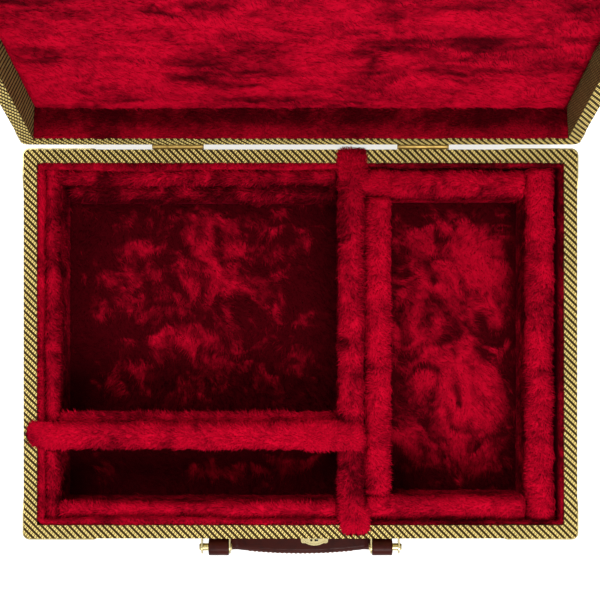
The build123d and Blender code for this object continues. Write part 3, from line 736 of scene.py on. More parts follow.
def weave_group():
    """Tweed: diagonal rows of beaded yarn, carried round every edge of a tray."""
    group, given, result = new_group(
        "tweed_weave",
        (
            ("Position", "Vector", None),
            ("Facing", "Vector", None),
            ("Light", "Color", (1, 1, 1, 1)),
            ("Dark", "Color", (0, 0, 0, 1)),
            ("Stripe", "Float", 0.003),
            ("Bead", "Float", 0.0015),
            ("Shade", "Float", 0.0),
            ("Pull", "Float", 0.0),
        ),
        (("Color", "Color"), ("Height", "Float"), ("Roughness", "Float")),
    )
    position, light, dark = given["Position"], given["Light"], given["Dark"]
    where = parts(group, position)
    facing = parts(group, given["Facing"])

    # The cloth is laid out flat, as if each wall were folded out level with the rim
    flat = []
    for axis in (0, 1):
        stays = calc(group, "SUBTRACT", 1.0, calc(group, "ABSOLUTE", facing[axis]))
        kept = calc(group, "MULTIPLY", where[axis], stays)
        if axis == 1:
            pulled = calc(group, "MULTIPLY", given["Pull"], calc(group, "ABSOLUTE", facing[2]))
            kept = calc(group, "MULTIPLY", kept, calc(group, "SUBTRACT", 1.0, pulled))
        down = calc(group, "MULTIPLY", where[2], facing[axis])
        flat.append(calc(group, "SUBTRACT", kept, down))
    wander = swing(group, fractal(group, position, 60.0, 2.0), 0.9 * MM)
    across = calc(group, "MULTIPLY", calc(group, "ADD", flat[0], flat[1]), math.sqrt(0.5))
    across = calc(group, "ADD", across, wander)
    along = calc(group, "MULTIPLY", calc(group, "SUBTRACT", flat[0], flat[1]), math.sqrt(0.5))

    # The dark yarn takes up the first part of each stripe, and two rows of pale yarn take up the rest
    dark_share = 0.45
    row_shift = 0.15
    turn = calc(group, "FRACT", calc(group, "DIVIDE", across, given["Stripe"]))
    rows = calc(group, "MULTIPLY", calc(group, "SUBTRACT", turn, dark_share), 2 / (1 - dark_share))
    pale = calc(group, "GREATER_THAN", rows, 0.0)
    ridge = steps(group, arch(group, rows), 0.15, 0.6)
    late = calc(group, "MULTIPLY", calc(group, "FLOOR", rows), row_shift)
    beads = calc(group, "ADD", calc(group, "DIVIDE", along, given["Bead"]), late)
    bead = steps(group, arch(group, beads), 0.15, 0.9)

    # Light catches the crown of each bead, less where the yarn is uneven
    speck = fractal(group, position, 900.0, 2.0)
    grime = steps(group, fractal(group, position, 45.0, 4.0), 0.35, 0.75)
    lit = calc(group, "MULTIPLY", calc(group, "MULTIPLY_ADD", bead, 0.9, 0.1), ridge)
    lit = calc(group, "MULTIPLY", lit, calc(group, "MULTIPLY_ADD", speck, 0.8, 0.7), clamp=True)
    brown = mix(group, calc(group, "MULTIPLY", lit, 0.05), dark, light)
    colour = mix(group, pale, brown, mix(group, lit, dark, light))
    # Grime darkens the cloth in random patches, and Shade adds painted shade where it is given
    worn = calc(group, "MULTIPLY_ADD", grime, 0.14, calc(group, "MULTIPLY", given["Shade"], 0.46))
    group.links.new(mix(group, worn, colour, dark), result["Color"])
    raised = calc(group, "MULTIPLY_ADD", pale, 0.45, 0.55)
    group.links.new(calc(group, "MULTIPLY", lit, raised), result["Height"])
    group.links.new(calc(group, "MULTIPLY_ADD", speck, 0.2, 0.7), result["Roughness"])
    return group


def wear_group():
    """Wear and dirt: a mask of rubbed places, fine scratches and a gloss that varies."""
    group, given, result = new_group(
        "handling_wear",
        (
            ("Position", "Vector", None),
            ("Clean", "Color", (1, 1, 1, 1)),
            ("Dull", "Color", (0.5, 0.5, 0.5, 1)),
            ("Patch", "Float", 60.0),
            ("Gloss", "Float", 0.3),
        ),
        (("Color", "Color"), ("Height", "Float"), ("Roughness", "Float")),
    )
    position = given["Position"]
    cloud = fractal(group, position, given["Patch"], 5.0, 0.6, 0.4)
    fine = fractal(group, position, calc(group, "MULTIPLY", given["Patch"], 9.0), 3.0, 0.6)
    patchy = calc(group, "MULTIPLY_ADD", fine, 0.8, 0.3)
    dull = calc(group, "MULTIPLY", steps(group, cloud, 0.42, 0.78), patchy)
    group.links.new(mix(group, dull, given["Clean"], given["Dull"]), result["Color"])
    streak = put(group, "ShaderNodeMapping", {"Vector": position, "Scale": (1.0, 9.0, 14.0)}).outputs[0]
    scratch = steps(group, fractal(group, streak, 160.0, 4.0, 0.7), 0.58, 0.72)
    rough = calc(group, "ADD", given["Gloss"], calc(group, "MULTIPLY", dull, 0.25))
    group.links.new(calc(group, "MULTIPLY_ADD", scratch, 0.1, rough), result["Roughness"])
    group.links.new(calc(group, "MULTIPLY_ADD", scratch, -0.4, fine), result["Height"])
    return group


def shared_group(name, maker):
    """A node group that is made once and then found again."""
    return bpy.data.node_groups.get(name) or maker()


def new_material(name, **fixed):
    """A material with one shader, whose constant values are set on its own sockets."""
    material = bpy.data.materials.new(name)
    material.use_nodes = True
    tree = material.node_tree
    shader = tree.nodes["Principled BSDF"]
    for socket, value in fixed.items():
        shader.inputs[socket.replace("_", " ")].default_value = value
    return material, tree, shader


def feed(tree, group, shader, relief, distance, roughness=True):
    """Joins a group's colour, roughness and height to a shader."""
    tree.links.new(group.outputs["Color"], shader.inputs["Base Color"])
    if roughness:
        tree.links.new(group.outputs["Roughness"], shader.inputs["Roughness"])
    bump = put(tree, "ShaderNodeBump", {"Strength": relief, "Distance": distance})
    tree.links.new(group.outputs["Height"], bump.inputs["Height"])
    tree.links.new(bump.outputs[0], shader.inputs["Normal"])


def place_group(tree, group, **sockets):
    """Puts a shared group in a material."""
    node = put(tree, "ShaderNodeGroup", node_tree=group)
    for key, value in sockets.items():
        socket = node.inputs[key.replace("_", " ")]
        if isinstance(value, bpy.types.NodeSocket):
            tree.links.new(value, socket)
        else:
            socket.default_value = value
    return node


def plush_material(name, looks, low, high, dim=1.0):
    """Crimson pile. Low and high set how much of its painted sheen shows bright; dim darkens its bright
    colour as painted shade over a whole piece.
    """
    material, tree, shader = new_material(
        name, Roughness=0.9, Sheen_Weight=0.1, Sheen_Roughness=0.5,
        Sheen_Tint=paint(235, 0, 70), Specular_IOR_Level=0.02,
    )
    dimmed = [value * dim for value in looks.bright[:3]] + [1.0]
    group = place_group(
        tree, shared_group("plush_pile", pile_group),
        Position=put(tree, "ShaderNodeTexCoord").outputs["Object"],
        Nap=put(tree, "ShaderNodeAttribute", attribute_name="painted_light_and_shade").outputs["Fac"],
        Tip=put(tree, "ShaderNodeAttribute", attribute_name="tip").outputs["Fac"],
        Bright=dimmed, Dark=looks.dark, Patch_Low=low, Patch_High=high,
    )
    feed(tree, group, shader, 0.5, 0.4 * MM, roughness=False)
    return material


def tweed_material(name, looks, turned):
    """Tweed for one tray. The lid's pattern is laid out as if it lay open flat, then turned up."""
    material, tree, shader = new_material(name, Specular_IOR_Level=0.06)
    place = put(tree, "ShaderNodeTexCoord").outputs
    position, facing = place["Object"], place["Normal"]
    across = calc(tree, "ABSOLUTE", parts(tree, position)[0])
    sideways = calc(tree, "ABSOLUTE", parts(tree, facing)[0])
    if turned:
        back = {"Vector": position, "Center": LID_PIN, "Angle": -LID_TILT}
        position = put(tree, "ShaderNodeVectorRotate", back, rotation_type="X_AXIS").outputs[0]
        back = {"Vector": facing, "Angle": -LID_TILT}
        facing = put(tree, "ShaderNodeVectorRotate", back, rotation_type="X_AXIS").outputs[0]
    # Painted shade on the inner faces of the side walls, which look sideways inside the rim
    inside = steps(tree, across, INSIDE_HIGH.x + 1.2 * MM, INSIDE_HIGH.x + 0.2 * MM)
    group = place_group(
        tree, shared_group("tweed_weave", weave_group), Position=position, Facing=facing,
        Light=looks.light, Dark=looks.dark, Stripe=looks.stripe, Bead=looks.bead,
        Shade=calc(tree, "MULTIPLY", inside, sideways), Pull=0.3 if turned else 0.0,
    )
    feed(tree, group, shader, 0.8, 0.35 * MM)
    return material


def worn_material(name, clean, dull, patch, gloss, relief, **fixed):
    """A hard finish with wear, such as brass, steel, leather or bare board."""
    material, tree, shader = new_material(name, **fixed)
    group = place_group(
        tree, shared_group("handling_wear", wear_group),
        Position=put(tree, "ShaderNodeTexCoord").outputs["Object"],
        Clean=clean, Dull=dull, Patch=patch, Gloss=gloss,
    )
    feed(tree, group, shader, relief, 0.05 * MM)
    return material


def repaint(names, material):
    """Gives carried-over parts their finish."""
    for name in names:
        for slot in NODES[name].material_slots:
            slot.material = material


# Operators: one for each piece or group of like pieces


class CASE_OT_tweed(bpy.types.Operator):
    """Cover the boards of both trays with tweed"""

    bl_idname = "case.tweed"
    bl_label = "Tweed"

    def execute(self, context):
        looks = context.scene.case_tweed
        repaint(("base_tweed_wrap", "base_bottom_tweed"), tweed_material("base_tweed", looks, False))
        repaint(("lid_tweed_wrap", "lid_top_tweed"), tweed_material("lid_tweed", looks, True))
        return {"FINISHED"}


class CASE_OT_brasswork(bpy.types.Operator):
    """Finish the guards, hinges, handle brackets, lock and fasteners in worn brass"""

    bl_idname = "case.brasswork"
    bl_label = "Brasswork"

    def execute(self, context):
        looks = context.scene.case_metal
        # The parts, their metal's name, its clean and its dull colour, then patch, gloss and relief
        metals = (
            (BRASS_NODES, "pale_brass", looks.brass, paint(130, 112, 70), 110.0, 0.26, 0.25),
            # The hinges take a darker brass
            (HINGE_NODES, "aged_brass", looks.hinges, paint(84, 64, 32), 150.0, 0.36, 0.3),
            (STEEL_NODES, "spring_steel", looks.steel, paint(110, 112, 118), 120.0, 0.3, 0.2),
        )
        for nodes, *finish in metals:
            repaint(nodes, worn_material(*finish, Metallic=1.0))
        return {"FINISHED"}


class CASE_OT_boards(bpy.types.Operator):
    """Finish the plywood boards under the cloth"""

    bl_idname = "case.boards"
    bl_label = "Boards"

    def execute(self, context):
        wood = worn_material("bare_plywood", paint(206, 172, 122), paint(168, 128, 82), 30.0, 0.6, 0.4)
        repaint(BOARD_NODES, wood)
        return {"FINISHED"}


def strip_boxes():
    """The corners of every padded strip."""
    return {name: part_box(name) for name in STRIPS}


def outside_strips(margin):
    """A test for places on the floor that no strip stands on."""
    boxes = strip_boxes().values()

    def free(centres, normals):
        open_here = (normals[:, 2] > 0.5).astype(float)
        for low, high in boxes:
            inside = (centres[:, 0] > low.x + margin) & (centres[:, 0] < high.x - margin)
            inside &= (centres[:, 1] > low.y + margin) & (centres[:, 1] < high.y - margin)
            open_here[inside] = 0
        return open_here

    return free


class CASE_OT_floor(bpy.types.Operator):
    """Lay the crushed plush on the floor of the base"""

    bl_idname = "case.floor_lining"
    bl_label = "Floor lining"

    def execute(self, context):
        looks = context.scene.case_plush
        low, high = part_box("base_floor_lining")
        points, quads, triangles = sheet_skin(low, high, 1.5 * MM)
        points = ruffle(points, quads, low.z + 1.5 * MM, 1.3 * MM, looks.seed + 60)
        count = 29500
        pile = tufts(
            points, quads, count, looks.pile_length * 1.25, looks.tuft_width * 1.2, math.radians(17),
            leaning(0.4, -1.0, 0.0), outside_strips(3 * MM), looks.seed + 61, bent=False,
        )
        boxes = strip_boxes().values()
        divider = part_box("long_divider")[1]

        def painted_floor_light_and_shade(p):
            """Painted shade darkens the floor all over and more near the strips, and painted light
            brightens it in the right bay.
            """
            gaps = [
                np.maximum.reduce([a.x - p[:, 0], p[:, 0] - b.x, a.y - p[:, 1], p[:, 1] - b.y])
                for a, b in boxes
            ]
            right = np.clip((p[:, 0] - divider.x) / (4 * MM), 0, 1)
            near = 1 - np.clip(np.minimum.reduce(gaps) / (18 * MM), 0, 1)
            return 0.33 * right - 0.28 - 0.5 * near

        # The floor's painted sheen, with painted creases from the folds
        mesh = plush_mesh(
            "floor_plush", (points, quads, triangles), pile, looks.seed + 7, 24 * MM, 0.72, painted_floor_light_and_shade,
            folds=1.1,
        )
        # The floor's plush is dimmed: painted shade over the whole floor
        floor = make_piece(
            "floor_plush", mesh, "base",
            plush_material("plush_floor", looks, 0.08, 0.95, 0.85), ["base_floor_lining"],
        )
        return {"FINISHED"}


class CASE_OT_wall_lining(bpy.types.Operator):
    """Line the walls of the base, with a soft roll along the rim"""

    bl_idname = "case.wall_lining"
    bl_label = "Wall lining"

    def execute(self, context):
        looks = context.scene.case_plush
        low, high = INSIDE_LOW, INSIDE_HIGH
        divider_left, divider_right = (corner.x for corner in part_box("long_divider"))
        thickness = 2.0 * MM
        roll_left, roll_right = 4.8 * MM, 2.3 * MM

        def roll(p):
            """The roll is thicker left of the long divider than right of it."""
            share = np.clip((p[:, 0] - divider_left) / (divider_right - divider_left), 0, 1)
            wander = noise(np.column_stack((p, p[:, 0] * 0)), 34 * MM, looks.seed + 73)
            return (roll_left + (roll_right - roll_left) * share) * (1 + 0.25 * wander)

        centre = ((low.x + high.x) / 2, (low.y + high.y) / 2)
        half_x, half_y = (high.x - low.x) / 2, (high.y - low.y) / 2
        points, quads, triangles = roll_skin(
            centre, half_x, half_y, low.z, high.z, thickness, roll, 1.6 * MM
        )
        points = ruffle(points, quads, high.z - 16 * MM, 0.5 * MM, looks.seed + 70)

        def outward(p):
            """Pile leans towards the nearest wall, and a little back and to the right."""
            away = np.zeros_like(p)
            near_x = half_x - np.abs(p[:, 0] - centre[0])
            near_y = half_y - np.abs(p[:, 1] - centre[1])
            on_x = near_x < near_y
            away[on_x, 0] = np.sign(p[on_x, 0])
            away[~on_x, 1] = np.sign(p[~on_x, 1])
            away[:, 1] += 0.5
            away[:, 0] += 0.4
            return away

        def shade(p):
            """Painted shade darkens the lining deeper down; the lining is also darker all over, and more in
            the right bay.
            """
            right = np.clip((p[:, 0] - divider_right) / (4 * MM), 0, 1)
            return deeper(high.z)(p) - 0.08 - 0.24 * right

        count = 13000
        pile = tufts(
            points, quads, count, looks.pile_length * 0.75, looks.tuft_width, math.radians(32), outward,
            lambda c, n: (c[:, 2] > high.z - 7 * MM) * np.clip(n[:, 2] + 0.4, 0, 1), looks.seed + 71,
        )
        highest = RIM_Z + 1.1 * MM
        pile[0][:, 2] = np.minimum(pile[0][:, 2], highest)
        mesh = plush_mesh(
            "wall_plush", (points, quads, triangles), pile, looks.seed + 9, 20 * MM, 0.42, shade
        )
        # The roll's plush is dimmed: painted shade over the whole lining
        lining = make_piece(
            "wall_plush", mesh, "base",
            plush_material("plush_roll", looks, -0.1, 0.75, 0.9), ["base_wall_lining"],
        )
        press_under_lid(lining)
        return {"FINISHED"}


def deeper(top, first=4 * MM, reach=9 * MM, dark=0.3):
    """Painted shade: pile turns darker with depth below the top of its strip."""
    return lambda p: -dark * np.clip((top - first - p[:, 2]) / reach, 0, 1)


def press_under_lid(piece):
    """Gives a piece that stands above the rim its own copy of its mesh."""
    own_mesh(piece)


def leaning(*way):
    """Pile that leans the same way everywhere."""
    return lambda p: np.tile(way, (len(p), 1))


def comb_along(along, centre, half):
    """Pile on a strip leans along it, and outwards towards its sides."""
    run, across = (0, 1) if along == "x" else (1, 0)

    def comb(p):
        lean = np.zeros_like(p)
        lean[:, run] = -0.75
        lean[:, across] = (p[:, across] - centre[across]) / half
        lean[:, 2] = -0.2
        return lean

    return comb


def plush_strip(
    name, nodes, low, high, along, looks, material, index, crown, glow, shadow=0.3, ripple=0.9 * MM
):
    """One padded strip, covered with long pile on top and down its sides."""
    most_tufts = 16000
    tufts_per_mm2 = 1.1
    end_round = min(4 * MM, (high[0] - low[0]) / 3, (high[1] - low[1]) / 3)
    points, quads, triangles = strip_skin(low, high, along, crown, end_round, 1.5 * MM)
    seed = looks.seed + 100 + 10 * index
    points = ruffle(points, quads, low[2] + 1 * MM, ripple, seed)
    run = 0 if along == "x" else 1
    width = high[1 - run] - low[1 - run]
    area = (high[run] - low[run]) * (width + 45 * MM) / (MM * MM)
    count = min(most_tufts, int(area * tufts_per_mm2))
    shoulder = high[2] - crown
    centre = [(a + b) / 2 for a, b in zip(low, high)]

    def where(c, n):
        """Fewer tufts grow deep down, and none next to the floor."""
        deep = np.clip((c[:, 2] - (shoulder - 34 * MM)) / (30 * MM), 0, 1)
        return (0.25 + 0.75 * deep) * (c[:, 2] > low[2] + 4 * MM)

    pile = tufts(
        points, quads, count, looks.pile_length, looks.tuft_width, math.radians(24),
        comb_along(along, centre, width / 2), where, seed + 3,
    )
    # Painted shade with depth, and the strip's own painted light and shade, its glow
    mesh = plush_mesh(
        name, (points, quads, triangles), pile, looks.seed + 5, 13 * MM, 0.5,
        lambda p: deeper(high[2], dark=shadow)(p) + glow,
    )
    piece = make_piece(name, mesh, "base", material, nodes)
    top = max(v.co.z for v in mesh.vertices)
    if top > RIM_Z:
        press_under_lid(piece)
    return piece


class CASE_OT_strips(bpy.types.Operator):
    """Stand the plush-covered strips and dividers in the base"""

    bl_idname = "case.strips"
    bl_label = "Padded strips"

    def execute(self, context):
        looks = context.scene.case_plush
        material = plush_material("plush_strips", looks, -0.15, 0.68)
        pile_reach = 1.3 * MM
        wall_crown, free_crown = 4.5 * MM, 6.5 * MM
        # A crease lies between these strips and their wall: the corner and the axis that move, and how far
        wall_gap = 0.8 * MM
        creases = {
            "left_wall_pad": (0, 0, wall_gap),
            "front_bay_left_pad": (0, 0, wall_gap),
            "back_wall_pad": (1, 1, -wall_gap),
            "front_wall_pad": (0, 1, wall_gap),
        }
        for index, (node, (along, glow)) in enumerate(STRIPS.items()):
            corners = [list(corner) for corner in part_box(node)]
            across = 1 if along == "x" else 0
            corners[0][across] += pile_reach
            corners[1][across] -= pile_reach
            crown = free_crown
            if node in creases:
                corner, axis, gap = creases[node]
                corners[corner][axis] += gap
                crown = wall_crown
            shadow = 0.16 if node == "left_wall_pad" else 0.3
            plush_strip(
                "plush_" + node, [node], *corners, along, looks, material, index, crown, glow, shadow
            )

        # A slack fold of plush hangs down the back of the cross divider
        low, high = (list(corner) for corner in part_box("cross_divider"))
        low[1], high[1] = high[1] - 2 * MM, high[1] + 5.5 * MM
        low[0] += 13 * MM
        low[2], high[2] = high[2] - 30 * MM, high[2] - 9 * MM
        index = len(STRIPS)
        # Its glow darkens it: painted shade
        plush_strip("plush_divider_fold", (), low, high, "x", looks, material, index, 3 * MM, -0.16)

        # Another hangs in front of the back wall
        low, high = (list(corner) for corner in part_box("back_wall_pad"))
        low[0] += 5 * MM
        low[1], high[1] = low[1] - 7.5 * MM, low[1] + 3 * MM
        low[2], high[2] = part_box("base_floor_lining")[1].z + 1 * MM, high[2] - 13 * MM
        # Its glow and shadow darken it: painted shade against the back wall
        plush_strip(
            "plush_back_fold", (), low, high, "x", looks, material, index + 1, 5 * MM, -0.44,
            shadow=0.1, ripple=1.7 * MM,
        )
        return {"FINISHED"}


class CASE_OT_divider_ends(bpy.types.Operator):
    """Lay the dividers' furry ends over the rim, where the closing lid presses them, and over each other"""

    bl_idname = "case.divider_ends"
    bl_label = "Divider ends"

    def execute(self, context):
        looks = context.scene.case_plush
        material = plush_material("plush_ends", looks, -0.15, 0.68)
        long_low, long_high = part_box("long_divider")
        cross_low, cross_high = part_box("cross_divider")
        ring_low, ring_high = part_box("right_bay_back_pad")
        rim = RIM_Z + 0.15 * MM
        top = long_high.z + 0.9 * MM
        # Two corners, the way that it runs, how far its two ends sink, whether the lid's rim presses on it,
        # and the painted light and shade that brightens or darkens its pile
        places = {
            "divider_end_back": (
                (long_low.x + 0.4 * MM, long_high.y - 12 * MM, rim),
                (long_high.x + 0.6 * MM, RIM_HIGH.y + 0.3 * MM, top), "y", (0.8 * MM, 0), True, 0.05,
            ),
            "divider_end_front": (
                (long_low.x + 2.6 * MM, RIM_LOW.y + 3.5 * MM, rim),
                (long_high.x + 2.2 * MM, long_low.y + 12 * MM, top), "y", (0, 0.8 * MM), True, -0.06,
            ),
            "divider_end_left": (
                (RIM_LOW.x + 3.0 * MM, cross_low.y + 4.5 * MM, rim),
                (cross_low.x + 14 * MM, cross_high.y - 1 * MM, top), "x", (0, 0.8 * MM), True, 0.0,
            ),
            "divider_end_right": (
                (cross_high.x - 26 * MM, cross_low.y + 0.3 * MM, cross_high.z - 2.6 * MM),
                (long_high.x - 0.4 * MM, cross_high.y - 0.3 * MM, cross_high.z + 3.2 * MM), "x",
                (3.4 * MM, 0), False, 0.02,
            ),
            "ring_end_back": (
                (long_high.x - 4.5 * MM, ring_low.y + 3 * MM, ring_high.z - 3 * MM),
                (long_high.x + 20 * MM, ring_high.y - 1.5 * MM, long_high.z + 1.6 * MM), "x",
                (0, 9 * MM), False, 0.0,
            ),
        }
        for index, (name, (low, high, along, sink, pressed, glow)) in enumerate(places.items()):
            crown = (high[2] - low[2]) * 0.85
            points, quads, triangles = strip_skin(low, high, along, crown, 6 * MM, 1.0 * MM, 0.0)
            run = 0 if along == "x" else 1
            share = (points[:, run] - low[run]) / (high[run] - low[run])
            rise = (points[:, 2] - low[2]) / (high[2] - low[2])
            points[:, 2] -= rise * (sink[0] * (1 - share) + sink[1] * share)
            seed = looks.seed + 300 + 10 * index
            points = ruffle(points, quads, low[2] + 0.5 * MM, 0.5 * MM, seed)
            centre = (np.array(low) + np.array(high)) / 2
            ahead = 1.0 if sink[0] > sink[1] else -1.0

            def outward(p, centre=centre, run=run, ahead=ahead):
                """Pile leans towards the end that sinks least, and out to both sides."""
                lean = (p - centre) / (8 * MM)
                lean[:, run] = ahead
                lean[:, 2] = 0
                return lean

            count = 1300
            pile = tufts(
                points, quads, count, looks.pile_length * 0.85, looks.tuft_width, math.radians(26), outward,
                lambda c, n: np.clip(n[:, 2] + 0.2, 0, 1), seed + 3,
            )
            if pressed:
                pile[0][:, 2] = np.maximum(pile[0][:, 2], rim)
            # Each end's glow is painted light and shade
            mesh = plush_mesh(
                name, (points, quads, triangles), pile, looks.seed + 5, 13 * MM, 0.5,
                lambda p, glow=glow: glow,
            )
            piece = make_piece(name, mesh, "base", material)
            if pressed:
                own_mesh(piece)
        return {"FINISHED"}


class CASE_OT_lid_lining(bpy.types.Operator):
    """Line the lid with a plush panel, and with plush on its front and back walls"""

    bl_idname = "case.lid_lining"
    bl_label = "Lid lining"

    def execute(self, context):
        looks = context.scene.case_plush
        low, high = lid_box("lid_top_pad")
        edge = 5 * MM

        def swell(x, y):
            near = np.minimum.reduce([x - low.x, high.x - x, y - low.y, high.y - y])
            return -2.2 * MM * (1 - np.clip(near / edge, 0, 1)) ** 2

        points, quads, triangles = sheet_skin(low, high, 1.5 * MM, swell)
        points = ruffle(points, quads, low.z + 1.2 * MM, 1.0 * MM, looks.seed + 80)
        count = 26000
        pile = tufts(
            points, quads, count, looks.pile_length * 1.2, looks.tuft_width * 1.2, math.radians(14),
            leaning(1.0, -0.35, 0.0), lambda c, n: n[:, 2] > 0.3, looks.seed + 81, bent=False,
        )
        # The panel's painted sheen, with painted creases from the folds
        mesh = plush_mesh(
            "lid_panel_plush", (points, quads, triangles), pile, looks.seed + 21, 30 * MM, 0.6,
            stretch=(0.55, 1, 1), folds=0.8,
        )
        material = plush_material("plush_lid", looks, 0.0, 0.78)
        panel = make_piece("lid_panel_plush", mesh, "lid", material, ["lid_top_pad"], LID_TURN)

        panel_low = low.z
        low, high = lid_box("lid_wall_lining")
        wall = 2.0 * MM
        rim = lid_box("lid_tweed_wrap")[1].z
        # A dimmer copy of the plush: painted shade on the lid's walls
        wall_material = plush_material("plush_lid_walls", looks, -0.05, 0.9, 0.72)
        walls = {
            "lid_back_wall_plush": (low.y, low.y + wall * 1.3),
            "lid_front_wall_plush": (high.y - wall * 1.3, high.y),
        }
        for index, (name, (near, far)) in enumerate(walls.items()):
            corners = (low.x, near, panel_low + 0.6 * MM), (high.x, far, rim - 0.6 * MM)
            points, quads, triangles = strip_skin(*corners, "x", 1.6 * MM, 1.0 * MM, 1.4 * MM, 0.0)
            seed = looks.seed + 90 + 5 * index
            points = ruffle(points, quads, low.z, 0.35 * MM, seed)
            inward = 1.0 if index == 0 else -1.0
            count = 10000
            pile = tufts(
                points, quads, count, looks.pile_length * 0.7, looks.tuft_width, math.radians(24),
                leaning(0.8, 0.0, 0.5),
                lambda c, n, inward=inward: np.clip(n[:, 1] * inward + 0.15 + n[:, 2], 0, 1), seed + 2,
            )
            pile[0][:, 2] = np.minimum(pile[0][:, 2], rim - 0.2 * MM)
            # Painted shade: the wall plush darkens away from the rim, towards the panel
            mesh = plush_mesh(
                name, (points, quads, triangles), pile, looks.seed + 25 + index, 34 * MM, 0.6,
                deeper(high.z, 3 * MM, 9 * MM, 0.38),
            )
            stands_for = ["lid_wall_lining"] if index == 0 else ()
            lining = make_piece(name, mesh, "lid", wall_material, stands_for, LID_TURN)
        return {"FINISHED"}


def stitch_shape(start, end, normal, thickness):
    """One stitch: a short rounded thread whose two ends dip into the leather."""
    sides = 6
    # How far along the stitch, how high above the leather and how thick each ring is
    rings = ((0, -0.5, 0.4), (0.12, 0.05, 0.9), (0.5, 0.18, 1.0), (0.88, 0.05, 0.9), (1, -0.5, 0.4))
    along = (end - start).normalized()
    across = along.cross(normal).normalized()
    points = []
    for share, rise, width in rings:
        middle = start.lerp(end, share) + normal * rise * thickness
        for side in range(sides):
            angle = 2 * math.pi * side / sides
            reach = across * math.cos(angle) + normal * math.sin(angle)
            points.append(middle + reach * width * thickness / 2)
    last = (len(rings) - 1) * sides
    caps = [(0, i + 1, i) for i in range(1, sides - 1)]
    caps += [(last, last + i, last + i + 1) for i in range(1, sides - 1)]
    return np.array(points), ring_quads(len(rings), sides, False)[:, ::-1], np.array(caps)


class CASE_OT_handle(bpy.types.Operator):
    """Wrap the handle in dark leather, with a row of stitches along each edge of the grip"""

    bl_idname = "case.handle"
    bl_label = "Handle"

    def execute(self, context):
        looks = context.scene.case_handle
        names = ["handle_grip", "handle_leg_left", "handle_leg_right"]
        leather = worn_material(
            "dark_leather", looks.leather, paint(29, 7, 5), 130.0, 0.32, 0.5,
            Specular_IOR_Level=0.06, Coat_Weight=0.02, Coat_Roughness=0.2,
        )
        skin = softened("handle_leather", names, 0.6 * MM, 5)
        surface = BVHTree.FromPolygons(
            [v.co for v in skin.vertices], [tuple(face.vertices) for face in skin.polygons]
        )
        make_piece("handle_leather", skin, "handle", leather, names)

        # Rays from outside find the grip's edge, and from there the two ends of each stitch
        low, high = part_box("handle_grip")
        centre = (low + high) / 2
        bare_ends = 12 * MM
        pitch = looks.stitch + looks.stitch_gap
        count = int((high.x - low.x - bare_ends) / pitch)
        far = 0.1
        shapes = []
        for edge, face, step in itertools.product((-1, 1), (-1, 1), range(count)):
            x = centre.x + (step - (count - 1) / 2) * pitch
            rim = surface.ray_cast(Vector((x, centre.y, centre.z + edge * far)), Vector((0, 0, -edge)))[0]
            level = rim.z - edge * looks.stitch_inset
            ends = []
            for shift in (-looks.stitch / 2, looks.stitch / 2):
                origin = Vector((x + shift, centre.y + face * far, level))
                ends.append(surface.ray_cast(origin, Vector((0, -face, 0))))
            if ends[0][0] and ends[1][0]:
                shapes.append(stitch_shape(ends[0][0], ends[1][0], ends[0][1], looks.thread))
        starts = np.cumsum([0] + [len(points) for points, _, _ in shapes[:-1]])
        mesh = fill_mesh(
            "handle_stitches",
            np.concatenate([points for points, _, _ in shapes]),
            np.concatenate([quads + start for (_, quads, _), start in zip(shapes, starts)]),
            np.concatenate([caps + start for (_, _, caps), start in zip(shapes, starts)]),
        )
        thread = worn_material(
            "waxed_thread", looks.thread_colour, paint(70, 34, 24), 300.0, 0.6, 0.3, Specular_IOR_Level=0.2
        )
        make_piece("handle_stitches", mesh, "handle", thread)
        return {"FINISHED"}


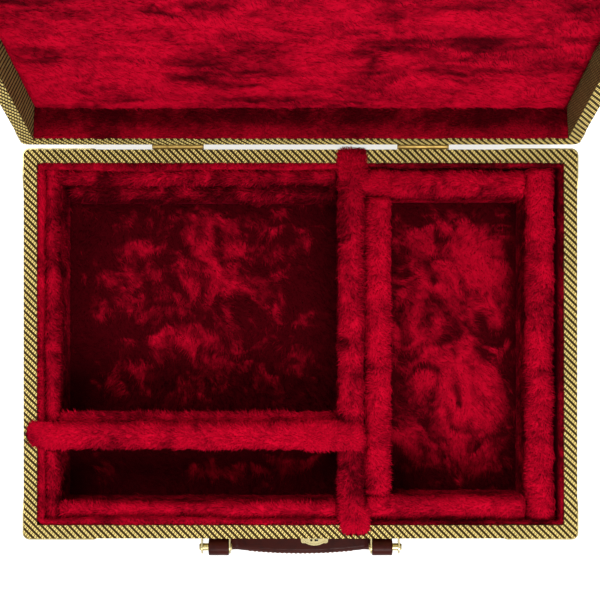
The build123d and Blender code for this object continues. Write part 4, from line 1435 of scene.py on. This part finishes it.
class CASE_OT_stage(bpy.types.Operator):
    """Set the white floor, soft light and the camera looking straight down"""

    bl_idname = "case.stage"
    bl_label = "Stage"

    def execute(self, context):
        stage = context.scene.case_stage
        floor_reach = 4.0
        corners = [(x * floor_reach, y * floor_reach, 0) for x, y in ((-1, -1), (1, -1), (1, 1), (-1, 1))]
        mesh = bpy.data.meshes.new("floor")
        mesh.from_pydata(corners, [], [(0, 1, 2, 3)])
        floor = bpy.data.objects.new("floor", mesh)
        context.scene.collection.objects.link(floor)
        material = bpy.data.materials.new("white_floor")
        material.use_nodes = True
        tree = material.node_tree
        tree.nodes.clear()
        diffuse = put(tree, "ShaderNodeBsdfDiffuse", {"Color": (0.8, 0.8, 0.8, 1)}).outputs[0]
        strength = calc(tree, "MULTIPLY", seen_straight(tree), 0.5)
        glow = put(tree, "ShaderNodeEmission", {"Color": WHITE, "Strength": strength}).outputs[0]
        both = put(tree, "ShaderNodeAddShader", {0: diffuse, 1: glow}).outputs[0]
        put(tree, "ShaderNodeOutputMaterial", {"Surface": both})
        mesh.materials.append(material)

        world = bpy.data.worlds.new("soft_sky")
        context.scene.world = world
        world.use_nodes = True
        tree = world.node_tree
        tree.nodes.clear()
        strength = calc(tree, "MULTIPLY_ADD", seen_straight(tree), 1.0 - stage.sky, stage.sky)
        sky = put(tree, "ShaderNodeBackground", {"Color": WHITE, "Strength": strength}).outputs[0]
        put(tree, "ShaderNodeOutputWorld", {"Surface": sky})

        # Name, place, width and power
        lamps = (
            ("side_lamp", (-0.8, 0.7, 1.8), 0.9, stage.lamp_power * stage.side_share),
            ("front_lamp", (0.3, -1.25, 1.75), 1.1, stage.lamp_power),
        )
        for name, place, size, power in lamps:
            data = bpy.data.lights.new(name, "AREA")
            data.shape = "DISK"
            data.size = size
            data.energy = power
            lamp = bpy.data.objects.new(name, data)
            lamp.location = place
            aim = Vector((0, 0, RIM_Z)) - Vector(place)
            lamp.rotation_euler = aim.to_track_quat("-Z", "Y").to_euler()
            context.scene.collection.objects.link(lamp)

        # The camera looks straight down, and its shift moves the picture towards the lid
        camera_data = bpy.data.cameras.new("camera")
        camera_data.lens = stage.lens
        camera_data.sensor_width = 36.0
        camera_data.shift_y = 0.0833
        camera = bpy.data.objects.new("camera", camera_data)
        camera.location = (-0.34 * MM, -4.1 * MM, RIM_Z + stage.height)
        context.scene.collection.objects.link(camera)
        context.scene.camera = camera
        context.scene.view_settings.view_transform = "Standard"
        return {"FINISHED"}


STEPS = (
    CASE_OT_stage,
    CASE_OT_boards,
    CASE_OT_tweed,
    CASE_OT_brasswork,
    CASE_OT_floor,
    CASE_OT_wall_lining,
    CASE_OT_strips,
    CASE_OT_divider_ends,
    CASE_OT_lid_lining,
    CASE_OT_handle,
)


class CASE_PT_panel(bpy.types.Panel):
    """The steps that dress the case"""

    bl_idname = "CASE_PT_panel"
    bl_label = "Harmonica case"
    bl_space_type = "VIEW_3D"
    bl_region_type = "UI"
    bl_category = "Case"

    def draw(self, context):
        for step in STEPS:
            self.layout.operator(step.bl_idname)


GROUPS = {
    "case_plush": CasePlush,
    "case_tweed": CaseTweed,
    "case_handle": CaseHandle,
    "case_metal": CaseMetal,
    "case_stage": CaseStage,
}


def register():
    for group in GROUPS.values():
        bpy.utils.register_class(group)
    for name, group in GROUPS.items():
        setattr(bpy.types.Scene, name, PointerProperty(type=group))
    for step in STEPS:
        bpy.utils.register_class(step)
    bpy.utils.register_class(CASE_PT_panel)


def unregister():
    bpy.utils.unregister_class(CASE_PT_panel)
    for step in reversed(STEPS):
        bpy.utils.unregister_class(step)
    for name, group in GROUPS.items():
        delattr(bpy.types.Scene, name)
        bpy.utils.unregister_class(group)


def main():
    register()
    for step in STEPS:
        area, action = step.bl_idname.split(".")
        getattr(getattr(bpy.ops, area), action)()


if __name__ == "__main__":
    main()
